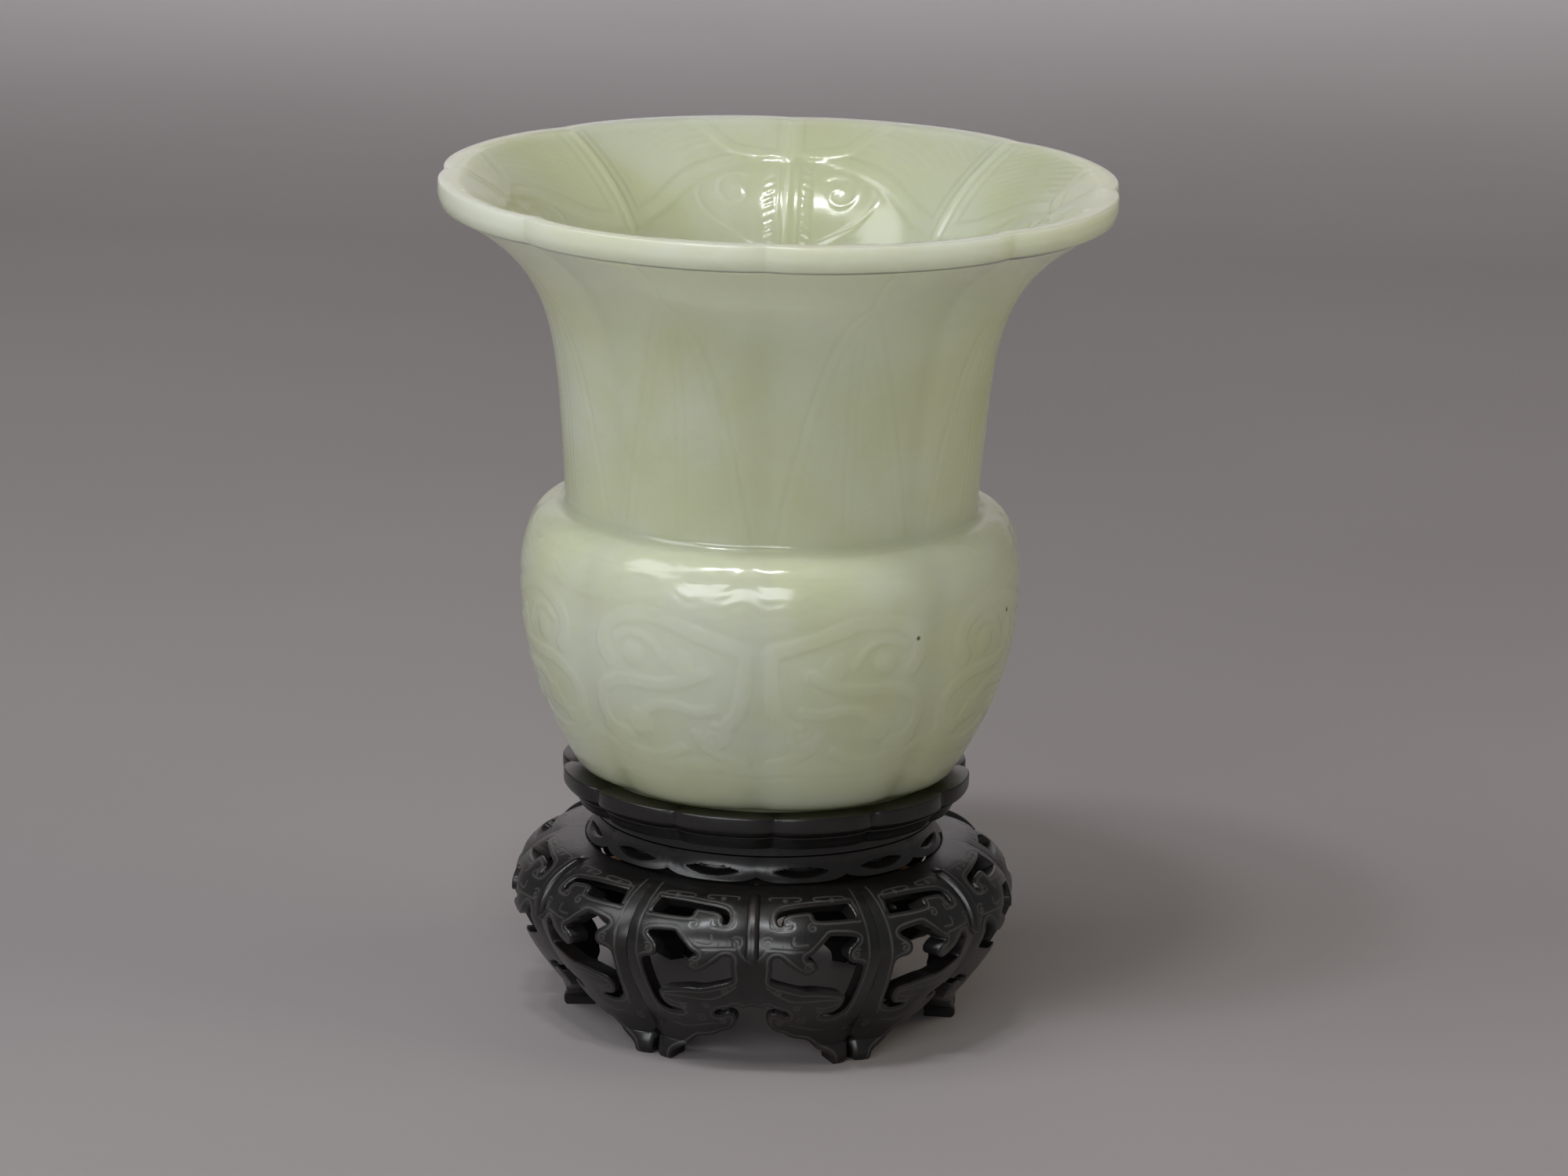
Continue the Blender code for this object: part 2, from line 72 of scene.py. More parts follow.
# Openings of one half panel: degrees from its centre line and percent of the drum's height
HORN_SLOT = [
    (25.4, 89.2), (25.4, 89.2), (25.1, 92.4), (24.6, 94.9), (24.6, 94.9), (20, 95.2), (15, 95.1),
    (10, 94.3), (7, 93.2), (5.9, 91.2), (5.9, 88.4), (6.5, 87.4), (7.2, 88.4), (7.4, 90.8), (8.6, 92.2),
    (11.4, 92.9), (14, 93.1), (14.8, 91.8), (15.2, 90), (19, 89.5)]
JAW_WINDOW = [
    (24.2, 78.8), (24.4, 80.2), (22.6, 81.6), (18.4, 82.6), (17.2, 81), (15.2, 77), (13.8, 74), (12.4, 71.9),
    (13.6, 70), (14.8, 67), (14.4, 63.6), (12.6, 61.2), (10.2, 63.8), (7.8, 68.4), (6.3, 71.4), (5.2, 71.4),
    (4.6, 69.4), (4.7, 65.6), (4.6, 61), (4.8, 56), (8.6, 52.8), (12, 50.6), (15.5, 50.2), (19.5, 48.6),
    (22.4, 46.6), (23.2, 43.4), (22.9, 38.6), (21.4, 35), (18.6, 33.8), (18.2, 32.4), (21.2, 31.6),
    (23.8, 34), (25, 39), (25.5, 48), (25.8, 57), (25.8, 64), (24.6, 66.4), (22.8, 67.4), (21.8, 70.4),
    (22, 74.6), (23.2, 77.2)]
FOOT_ARCH = [
    (24, -9), (24, 0), (23.4, 5), (21.2, 8), (18.8, 10.4), (17, 13.2), (15.4, 15.6), (13, 16.4),
    (10.6, 17.6), (8.6, 20), (6, 22), (4.4, 26), (3.9, 30), (4.6, 33.2), (6.2, 34), (8.2, 32.2), (9.2, 32.2),
    (9.3, 34.2), (8.2, 36.4), (5.4, 38), (4.2, 39.4), (3.2, 38.8), (2.4, 37.4), (1.2, 38.2), (0, 38.6)]
TOE_GAP = [(29.1, -9), (29.1, 0), (29.3, 5), (29.9, 9.5), (33, 10), (33, -9)]

# Lines and curls cut into one half panel, in the same measures, with each curl's reach in millimetres
PANEL_LINES = [
    [(27.4, 99), (27.2, 93), (27.2, 83), (27, 66), (26.6, 52), (26, 40), (25.2, 30)],
    [(3.4, 79), (3, 75), (2.2, 72), (0.3, 68.2)],
    [(3.6, 76), (8, 75.6), (11.4, 75.2)],
    [(24.6, 95.8), (23.2, 97.2), (16.5, 97.5), (16, 96.6), (17.6, 96.4)],
    [(4.2, 96.4), (4.6, 97.4), (11.6, 97.6), (12.2, 96.8), (10.6, 96.4)],
    [(4.6, 92), (4.6, 86), (9, 85.6), (9.6, 88)],
    [(9.4, 82), (9.4, 78.4), (12.4, 78.6)],
    [(3.6, 53), (7, 47), (10.5, 44), (17, 44.4), (21.6, 43.6)],
    [(10, 27), (14, 25), (18, 23), (22, 24)],
    [(16, 39.6), (19, 39), (21.4, 41)],
]
PANEL_CURLS = [
    (13.9, 86.4, 1.1), (8.4, 88.6, 1.0), (3.5, 78.6, 1.2), (23.9, 72.2, 0.95), (12.8, 66.6, 0.95),
    (20.6, 96.3, 0.6), (8.2, 96.5, 0.6), (13, 30, 1.2), (17.4, 36.8, 0.9), (11.4, 39, 0.9), (27, 23, 1.2),
    (6.4, 49.4, 0.9), (7.6, 28, 0.9)]

# Flush strokes of one half body motif: half width, then degrees from its centre line and
# millimetres above the foot
BODY_STROKES = [
    (1.5, [(2.6, 38), (8, 39.4), (14, 41), (20, 42.8), (26, 43.8), (32, 43), (37, 40.4), (38.6, 36.6),
           (36.6, 33.6)]),
    (1.3, [(3, 36.4), (3.2, 31), (4.6, 26), (8, 22.6)]),
    (1.3, [(12, 33.6), (18, 31.4), (24, 30.3), (31, 30.3), (36, 29.3), (40, 27), (41, 23), (38.4, 19.6),
           (34, 18.8)]),
    (1.1, [(10.5, 26.2), (15, 25.6), (20.4, 26.4), (25, 25.8), (28, 23.6), (27, 21)]),
    (1.0, [(41, 19.4), (36, 16.6), (30, 15.2), (24, 15.6), (19, 17.6)]),
    (1.0, [(3, 14.8), (8.6, 16.2), (13, 18.4), (15, 21)]),
    (0.8, [(22, 35.4), (25, 38.8), (30, 40), (34.4, 38.4)]),
]
BODY_CURLS = [(10.4, 20.4, 2.6), (30.6, 21.6, 2.4), (18, 35, 2.2)]
BODY_EYE = (29.6, 35.6)
SHOULDER_EDGE = [(0, 41.2), (6, 43), (12, 44.6), (20, 46.2), (30, 46.6), (45, 45.6)]
HEM_EDGE = [(0, 13), (10, 14), (22, 13.4), (34, 14.4), (45, 17)]
SHOULDER_LINE = 51.5

# Upright leaves on the neck: millimetres above the foot, and degrees from a leaf's centre line
NECK_LEAF_BASE = 57.0
NECK_LEAF_TALL = 46.0
NECK_LEAF_HALF = 19.5

# Carving inside the mouth: degrees from a scroll's centre line and millimetres down from the rim
LEAF_EDGE = [(45, 26.5), (33, 23.9), (22, 17.6), (12, 14.2), (4, 12), (0, 12.8)]
RIM_PETAL = [(0, 13), (5.5, 12.3), (13, 10.4), (17, 5), (20, 0)]
SCROLL_TAIL = [
    (4, 12.6), (10, 13.6), (16.5, 15.2), (21.5, 18.6), (22.4, 22), (19, 26), (13, 29), (6.5, 31.5)]
SCROLL_CENTRE = (12.7, 20)
SCROLL_REACH = 4.6
ABOVE_RIM = -9.0

# Waves of a surface ground by hand: waves round the axis, radians per metre of height and a shift
HAND_WAVES = ((5.0, 90.0, 0.0), (11.0, -140.0, 1.7), (3.0, 210.0, 0.6))

# Dark specks in the jade: place and radius in millimetres
JADE_SPECKS = (((29.0, -37.6, 85.0), 0.7), ((45.3, -15.4, 85.2), 0.6))


# Settings

def span(name, description, millimetres):
    """Return a setting for a length."""
    return FloatProperty(name=name, description=description, default=millimetres * MM, unit="LENGTH")


def turning(name, description, degrees):
    """Return a setting for an angle."""
    return FloatProperty(name=name, description=description, default=math.radians(degrees), subtype="ANGLE")


def watts(name, description, power):
    """Return a setting for a lamp's power."""
    return FloatProperty(name=name, description=description, default=power, unit="POWER")


def tint(name, description, colour):
    """Return a setting for a colour."""
    return FloatVectorProperty(name=name, description=description, default=colour, subtype="COLOR")


class JadeVaseSizes(bpy.types.PropertyGroup):
    """Sizes of the vase."""

    rim_radius: span("Rim radius", "Radius of the mouth on the crown of a lobe", 64.6)
    lip_height: span("Lip height", "Height of the lip's outer face", 4.4)
    lip_width: span("Lip width", "Width of the lip's top", 2.4)
    neck_radius: span("Neck radius", "Radius of the neck where it leaves the shoulder", 39.6)
    neck_taper: span("Neck taper", "How much the neck opens before its flare", 4.3)
    body_radius: span("Body radius", "Widest radius of the body", 48.1)
    hem_radius: span("Hem radius", "Radius where the body turns under", 37.3)
    hem_round: span("Hem rounding", "Radius of the turn under the body", 5.0)
    hem_height: span("Hem height", "Height of the turn above the foot", 6.2)
    equator_height: span("Widest height", "Height of the widest line above the foot", 41.0)
    shoulder_height: span("Shoulder height", "Height of the neck's start above the foot", 55.2)
    foot_radius: span("Foot radius", "Radius of the foot", 31.4)
    wall: span("Wall", "Thickness of the jade wall", 4.4)
    floor: span("Floor", "Thickness of the jade floor", 8.0)
    groove: span("Groove depth", "Depth of the grooves between the lobes", 0.9)
    rim_groove: span("Rim notch", "Depth of the notches in the rim", 1.5)
    relief: span("Relief", "Height of the carved motif on the body", 0.17)
    columns: IntProperty(name="Columns", description="Mesh columns on each lobe", default=96, min=16)


class StandSizes(bpy.types.PropertyGroup):
    """Sizes of the stand."""

    drum_radius: span("Drum radius", "Widest radius of the drum", 49.0)
    drum_top_radius: span("Drum top radius", "Radius of the drum under the skirt", 34.5)
    ankle_radius: span("Ankle radius", "Radius of the drum above the feet", 36.3)
    foot_flare: span("Foot flare", "How far the toes stand out", 2.4)
    panel_wall: span("Panel wall", "Thickness of a panel", 4.2)
    panel_groove: span("Lobe groove", "Depth of the grooves between the drum's lobes", 1.5)
    keel: span("Keel", "Height of the upright ridge in a panel's middle", 1.1)
    mesh_step: span("Mesh step", "Mesh spacing of the carved panels", 0.22)
    edge_round: span("Edge rounding", "Rounding of the openings' edges", 0.3)
    line_depth: span("Line depth", "Depth of the incised lines", 0.07)
    scallop: span("Scallop", "Depth of the collar's scallops", 1.4)
    collar_turn: turning("Collar turn", "Turn of the collar's scallops", 5.0)


class FinishColours(bpy.types.PropertyGroup):
    """Colours of the materials."""

    jade_pale: tint("Pale jade", "Cloudy pale areas of the jade", (0.547, 0.578, 0.455))
    jade_deep: tint("Deep jade", "Clear grey-green areas of the jade", (0.495, 0.52, 0.35))
    jade_warm: tint("Warm jade", "Yellowish veins in the jade", (0.515, 0.508, 0.28))
    jade_veil: tint("Jade veil", "Whitish veils in the jade", (0.66, 0.69, 0.60))
    jade_fleck: tint("Jade flecks", "Fine darker flecks in the jade", (0.30, 0.31, 0.20))
    # Painted shade: darkens the cut lines, the creases between the lobes and the whole inside of the mouth
    jade_painted_shade: tint("Jade hollows", "Cut lines and the vase's inside", (0.31, 0.32, 0.21))
    # Painted glow: lightens the lip and the neck just under it
    jade_painted_glow: tint("Jade lip", "Pale jade where the lip is thin", (0.65, 0.68, 0.61))
    jade_speck: tint("Jade specks", "Dark specks in the jade", (0.02, 0.018, 0.012))
    wood_dark: tint("Dark wood", "Stained surface of the stand", (0.0058, 0.0052, 0.0049))
    wood_grain: tint("Wood grain", "Lighter grain of the stand", (0.0105, 0.0090, 0.0080))
    wood_worn: tint("Worn wood", "Brown wood where the stain has worn", (0.060, 0.029, 0.018))
    wood_pore: tint("Wood pores", "Pores of the stand's wood", (0.003, 0.0026, 0.0022))
    wood_dust: tint("Dust", "Dust in the incised lines", (0.062, 0.057, 0.053))
    # Painted shade: darkens every inside face of the panels
    wood_inside_shade: tint("Inner wood", "Dull wood inside the stand", (0.002, 0.0018, 0.0016))
    peg_wood: tint("Peg wood", "Plain wood of the pegs", (0.20, 0.115, 0.06))
    peg_grain: tint("Peg grain", "Darker grain of the pegs", (0.11, 0.06, 0.03))
    floor: tint("Floor", "Floor and backdrop", (0.315, 0.288, 0.289))


class StageSetup(bpy.types.PropertyGroup):
    """Camera and light."""

    distance: span("Camera distance", "Distance from the camera to the object", 1250.0)
    lens: FloatProperty(name="Lens", description="Focal length in millimetres", default=150.0)
    elevation: turning("Elevation", "Camera height angle", 14.7)
    azimuth: turning("Azimuth", "Camera turn from the front", 2.0)
    roll: turning("Roll", "Camera tilt", 1.4)
    aim_height: span("Aim height", "Height that the camera looks at", 80.0)
    aim_right: span("Aim right", "Sideways offset of the picture's centre", 2.7)
    aim_up: span("Aim up", "Upward offset of the picture's centre", 3.7)
    key: watts("Key lights", "Power of each of the two main lamps", 2.35)
    ceiling: watts("Ceiling light", "Power of the broad lamp above", 0.8)
    side: watts("Side light", "Power of the soft lamp at the left", 5.8)
    fill: watts("Fill light", "Power of the soft lamp at the right", 4.5)
    backdrop: watts("Backdrop light", "Power of the lamp over the floor behind", 17.0)
    front: watts("Front light", "Power of the soft lamp beside the camera", 12.0)
    sky: FloatProperty(name="Sky", description="Strength of the even light", default=0.165)


# Shaping helpers

def clamp(value):
    """Return a value held between 0 and 1."""
    return np.clip(value, 0.0, 1.0)


def ease(value):
    """Return a soft 0 to 1 step of a value."""
    value = clamp(value)
    return value * value * (3.0 - 2.0 * value)


def folded(degrees, period):
    """Return the distance in degrees to the nearest multiple of a period."""
    return np.abs((degrees + 0.5 * period) % period - 0.5 * period)


def lobe_groove(angle, lobes):
    """Return 1 in a sharp groove between two lobes and 0 on the crown of a lobe."""
    nearness = 1.0 - np.abs(np.sin(0.5 * lobes * angle))
    flank, crease = 0.75, 0.25
    return flank * nearness ** 1.8 + crease * nearness ** 6


def soft_groove(angle, lobes):
    """Return a shallower, rounded groove between two lobes, 0 on the crown of a lobe."""
    nearness = np.cos(0.5 * lobes * angle) ** 2
    flank, crease = 0.45, 0.35
    return flank * nearness ** 1.5 + crease * nearness ** 12


def round_lobe(degrees, pitch):
    """Return 1 between two arched lobes and 0 on the crown of a lobe."""
    return (1.0 - 2.0 * folded(degrees, pitch) / pitch) ** 2


def plateau(distance, half_width, softness):
    """Return 1 on a stroke and 0 beside it, with soft edges."""
    return ease((half_width - distance) / softness + 0.5)


def line(distance, half_width):
    """Return the soft section of a fine line."""
    return np.exp(-(distance / half_width) ** 2)


def stripes(phase):
    """Return soft stripes, one for each whole step of the phase."""
    return 0.5 + 0.5 * np.cos(math.tau * phase)


def through(points, steps=6, closed=False):
    """Return a smooth curve through points, with a corner at a doubled point."""
    points = np.asarray(points, float)
    count = len(points)
    spans = count if closed else count - 1
    curve = []
    for i in range(spans):
        if closed:
            a, b, c, d = (points[(i + k) % count] for k in (-1, 0, 1, 2))
        else:
            a, b, c, d = (points[min(max(i + k, 0), count - 1)] for k in (-1, 0, 1, 2))
        for t in np.arange(steps) / steps:
            curve.append(0.5 * (2.0 * b + (c - a) * t + (2.0 * a - 5.0 * b + 4.0 * c - d) * t * t
                                + (3.0 * b - a - 3.0 * c + d) * t ** 3))
    if not closed:
        curve.append(points[-1])
    return np.array(curve)


def spiral(centre, radius, turns, start, steps=30):
    """Return a spiral that winds in towards its centre."""
    t = np.linspace(0.0, 1.0, steps)
    angle = start + math.tau * turns * t
    wound_in = 0.85
    reach = radius * (1.0 - wound_in * t)
    return np.stack([centre[0] + reach * np.cos(angle), centre[1] + reach * np.sin(angle)], axis=1)


def path_distance(x, y, points, closed=False):
    """Return the distance from each place to a path of straight pieces."""
    points = np.asarray(points, float)
    ends = np.roll(points, -1, axis=0) if closed else points[1:]
    nearest = np.full(np.shape(x), np.inf)
    for (ax, ay), (bx, by) in zip(points, ends):
        dx, dy = bx - ax, by - ay
        length = dx * dx + dy * dy
        t = clamp(((x - ax) * dx + (y - ay) * dy) / length) if length > 0.0 else 0.0
        nearest = np.minimum(nearest, (x - ax - t * dx) ** 2 + (y - ay - t * dy) ** 2)
    return np.sqrt(nearest)


def inside(x, y, points):
    """Return where places lie inside a closed outline."""
    within = np.zeros(np.shape(x), bool)
    for (ax, ay), (bx, by) in zip(points, np.roll(points, -1, axis=0)):
        if ay != by:
            crosses = (ay > y) != (by > y)
            within ^= crosses & (x < (bx - ax) * (y - ay) / (by - ay) + ax)
    return within


def signed_distance(x, y, points):
    """Return the distance to a closed outline, positive outside it."""
    distance = path_distance(x, y, points, closed=True)
    return np.where(inside(x, y, points), -distance, distance)


def unevenness(angle, height):
    """Return the slight waviness of a surface that was ground by hand."""
    waves = [np.sin(around * angle + up * height + shift) for around, up, shift in HAND_WAVES]
    return sum(waves) / len(waves)


def ripple(angle, height):
    """Return the small ripples that polishing leaves on a curved surface."""
    radians_per_metre = 2850.0
    wander = 2.2 * np.sin(19.0 * angle) + 1.3 * np.sin(41.0 * angle + 1.0)
    strength = 0.6 + 0.4 * np.sin(37.0 * angle + 260.0 * height)
    return np.sin(radians_per_metre * height + wander) * strength


def ring_angles(columns):
    """Return even angles round the axis."""
    return math.tau * np.arange(columns) / columns


def turned_points(radius, angle, height):
    """Return points at an angle turned from the front, -Y, towards +X."""
    return np.stack([radius * np.sin(angle), -radius * np.cos(angle), height + 0.0 * angle], axis=-1)


# Mesh helpers

def new_piece(name, points, faces, material, layers=None, crease=50.0):
    """Make a smooth-shaded mesh object, with layers of values stored on its points."""
    mesh = bpy.data.meshes.new(name)
    mesh.from_pydata(points.tolist(), [], faces)
    mesh.validate()
    mesh.shade_smooth()
    mesh.set_sharp_from_angle(angle=math.radians(crease))
    for key, values in (layers or {}).items():
        layer = mesh.attributes.new(key, "FLOAT", "POINT")
        layer.data.foreach_set("value", np.asarray(values, np.float32))
    mesh.materials.append(material)
    piece = bpy.data.objects.new(name, mesh)
    bpy.context.scene.collection.objects.link(piece)
    return piece


def ring_faces(rows, columns, closed_rows):
    """Return quads over rows of points that each run round the axis."""
    index = np.arange(rows * columns).reshape(rows, columns)
    if closed_rows:
        index = np.vstack([index, index[:1]])
    right = np.roll(index, -1, axis=1)
    quads = np.stack([index[:-1], right[:-1], right[1:], index[1:]], axis=-1)
    return quads.reshape(-1, 4).tolist()


def cap_faces(start, columns, centre, upward):
    """Return a fan of triangles from a row of points to a centre point."""
    fan = []
    for i in range(columns):
        j = (i + 1) % columns
        fan.append((start + i, start + j, centre) if upward else (start + j, start + i, centre))
    return fan


def place(piece, body, node):
    """Let a piece stand for a node and move with its body."""
    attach(piece, body)
    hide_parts(node)


# Shader helpers

class Field:
    """A shader socket that can be used in Python expressions."""

    def __init__(self, finish, socket):
        self.finish = finish
        self.socket = socket

    def _math(self, operation, first, second):
        return self.finish.node("ShaderNodeMath", {"operation": operation}, {0: first, 1: second})

    def __add__(self, other):
        return self._math("ADD", self, other)

    __radd__ = __add__

    def __rsub__(self, other):
        return self._math("SUBTRACT", other, self)

    def __mul__(self, other):
        return self._math("MULTIPLY", self, other)

    def between(self, low, high):
        """Return a soft 0 to 1 step between two values."""
        return self.finish.node("ShaderNodeMapRange", {"interpolation_type": "SMOOTHSTEP"},
                                {"Value": self, "From Min": low, "From Max": high})


class Finish:
    """A material under construction."""

    def __init__(self, name):
        self.material = bpy.data.materials.new(name)
        self.material.use_nodes = True
        self.tree = self.material.node_tree
        self.shader = self.tree.nodes["Principled BSDF"]
        self.place = self.node("ShaderNodeTexCoord", output="Object")

    def node(self, kind, settings=None, sockets=None, output=0):
        """Add a node, with its settings first and then the values or links of its sockets."""
        made = self.tree.nodes.new(kind)
        for key, value in (settings or {}).items():
            setattr(made, key, value)
        for key, value in (sockets or {}).items():
            self.feed(made.inputs[key], value)
        return Field(self, made.outputs[output])

    def feed(self, socket, value):
        """Link a field to a socket, or set a constant on it."""
        if isinstance(value, Field):
            self.tree.links.new(value.socket, socket)
        else:
            socket.default_value = value

    def noise(self, scale, detail=3.0, roughness=0.5, distortion=0.0, stretch=None):
        """Return cloudy noise, stretched along an axis if asked."""
        place = self.place
        if stretch:
            place = self.node("ShaderNodeVectorMath", {"operation": "MULTIPLY"}, {0: place, 1: stretch})
        return self.node("ShaderNodeTexNoise", {}, {"Vector": place, "Scale": scale, "Detail": detail,
                                                    "Roughness": roughness, "Distortion": distortion})

    def mix(self, factor, first, second):
        """Return one colour mixed into another."""
        def colour(value):
            return value if isinstance(value, Field) else (*value, 1.0)
        sockets = {0: factor, 6: colour(first), 7: colour(second)}
        return self.node("ShaderNodeMix", {"data_type": "RGBA"}, sockets, 2)

    def layer(self, name):
        """Return a value that is stored on the mesh's points."""
        return self.node("ShaderNodeAttribute", {"attribute_name": name}, output="Fac")

    def near(self, point, radius):
        """Return 1 at a point in space, fading to 0 at a radius."""
        sockets = {0: self.place, 1: point}
        gap = self.node("ShaderNodeVectorMath", {"operation": "DISTANCE"}, sockets, "Value")
        return 1.0 - gap.between(0.4 * radius, radius)

    def set(self, **values):
        """Set or link the shader's sockets by name."""
        for key, value in values.items():
            self.feed(self.shader.inputs[key.replace("_", " ")], value)

    def bump(self, height, strength, distance):
        """Feed a height into the shader's normal."""
        sockets = {"Strength": strength, "Distance": distance, "Height": height}
        self.set(Normal=self.node("ShaderNodeBump", {}, sockets, "Normal"))


def jade_finish(colours):
    """Return polished, cloudy, slightly translucent jade."""
    jade = Finish("polished_jade")
    cloud = jade.noise(24.0, detail=5.0, roughness=0.55, distortion=0.4).between(0.38, 0.66)
    warm = jade.noise(13.0, distortion=0.8).between(0.5, 0.72)
    flecks = jade.noise(150.0, detail=4.0, roughness=0.7).between(0.62, 0.78)
    veil = jade.noise(45.0, distortion=0.8).between(0.45, 0.8)
    colour = jade.mix(cloud, colours.jade_deep, colours.jade_pale)
    # The first layer read here darkens cut lines, creases and the mouth with painted shade; the second,
    # thin, lightens the lip and the neck under it with a painted glow
    painted_shade, thin = jade.layer("painted_shade"), jade.layer("thin")
    for share, shade in ((warm * 0.3, colours.jade_warm), (veil * 0.14, colours.jade_veil),
                         (flecks * 0.10, colours.jade_fleck), (painted_shade * 0.5, colours.jade_painted_shade),
                         (thin * 0.85, colours.jade_painted_glow)):
        colour = jade.mix(share, colour, shade)
    for point, radius in JADE_SPECKS:
        speck = jade.near([MM * c for c in point], MM * radius)
        colour = jade.mix(speck, colour, colours.jade_speck)
    smear = jade.noise(70.0, detail=4.0, roughness=0.6)
    jade.set(Base_Color=colour, Roughness=0.10 + smear * 0.14, IOR=1.58,
             Subsurface_Weight=0.9, Subsurface_Radius=(1.0, 1.0, 0.72), Subsurface_Scale=0.018)
    jade.bump(jade.noise(900.0, detail=2.0), strength=0.04, distance=0.0003)
    return jade.material


def wood_finish(colours):
    """Return dark stained wood with a satin wax, worn along its edges, and dull inside the stand, where
    painted shade darkens it.
    """
    wood = Finish("dark_carved_wood")
    grain = wood.noise(420.0, detail=4.0, roughness=0.6, distortion=0.3, stretch=(1.0, 1.0, 0.14))
    pores = wood.noise(1500.0, detail=2.0, stretch=(1.0, 1.0, 0.2)).between(0.6, 0.75)
    patches = wood.noise(75.0, detail=4.0, roughness=0.6)
    dust = wood.noise(160.0).between(0.35, 0.6)
    # The inner layer darkens the panels' inside faces with painted shade and makes them rougher
    edge, marks, inner = wood.layer("edge"), wood.layer("line"), wood.layer("inner")
    wear = edge * patches.between(0.5, 0.72) * 0.7 + patches.between(0.66, 0.8) * 0.4
    colour = wood.mix(grain.between(0.35, 0.7) * 0.5, colours.wood_dark, colours.wood_grain)
    for share, shade in ((wear * 0.35, colours.wood_worn), (pores * 0.4, colours.wood_pore),
                         (marks * (0.55 + dust * 0.4), colours.wood_dust),
                         (inner * 0.6, colours.wood_inside_shade)):
        colour = wood.mix(share, colour, shade)
    rough = 0.24 + patches * 0.16 + pores * 0.1 + marks * 0.15 + inner * 0.4
    wax = 0.15
    wood.set(Base_Color=colour, Roughness=rough, IOR=1.45, Coat_Weight=wax - inner * wax, Coat_Roughness=0.2)
    wood.bump(grain + pores * -0.6, strength=0.12, distance=0.0003)
    return wood.material


def peg_finish(colours):
    """Return plain split wood for the hidden pegs."""
    wood = Finish("plain_peg_wood")
    grain = wood.noise(700.0, detail=4.0, roughness=0.6, distortion=0.2, stretch=(1.0, 1.0, 0.12))
    colour = wood.mix(grain.between(0.35, 0.7), colours.peg_wood, colours.peg_grain)
    wood.set(Base_Color=colour, Roughness=0.55 + grain * 0.2)
    wood.bump(grain, strength=0.15, distance=0.0002)
    return wood.material


def floor_finish(colours):
    """Return the pale paper of the floor and backdrop."""
    paper = Finish("pale_floor")
    cloud = paper.noise(3.0)
    tooth = paper.noise(900.0, detail=2.0)
    darker = [0.93 * c for c in colours.floor]
    colour = paper.mix(cloud.between(0.3, 0.7), colours.floor, darker)
    paper.set(Base_Color=colour, Roughness=0.82 + tooth * 0.1)
    paper.bump(tooth, strength=0.05, distance=0.0003)
    return paper.material


def shared_finish(name, maker):
    """Return a finish, made the first time that it is asked for."""
    found = bpy.data.materials.get(name)
    return found if found else maker(bpy.context.scene.finish_colours)


# The vase

def body_radius_at(size, height):
    """Return the body's radius at a height, and how near to the hem that is, 0 to 1."""
    t = (size.equator_height - min(height, size.equator_height)) / (size.equator_height - size.hem_height)
    return size.body_radius - (size.body_radius - size.hem_radius) * t * t, t


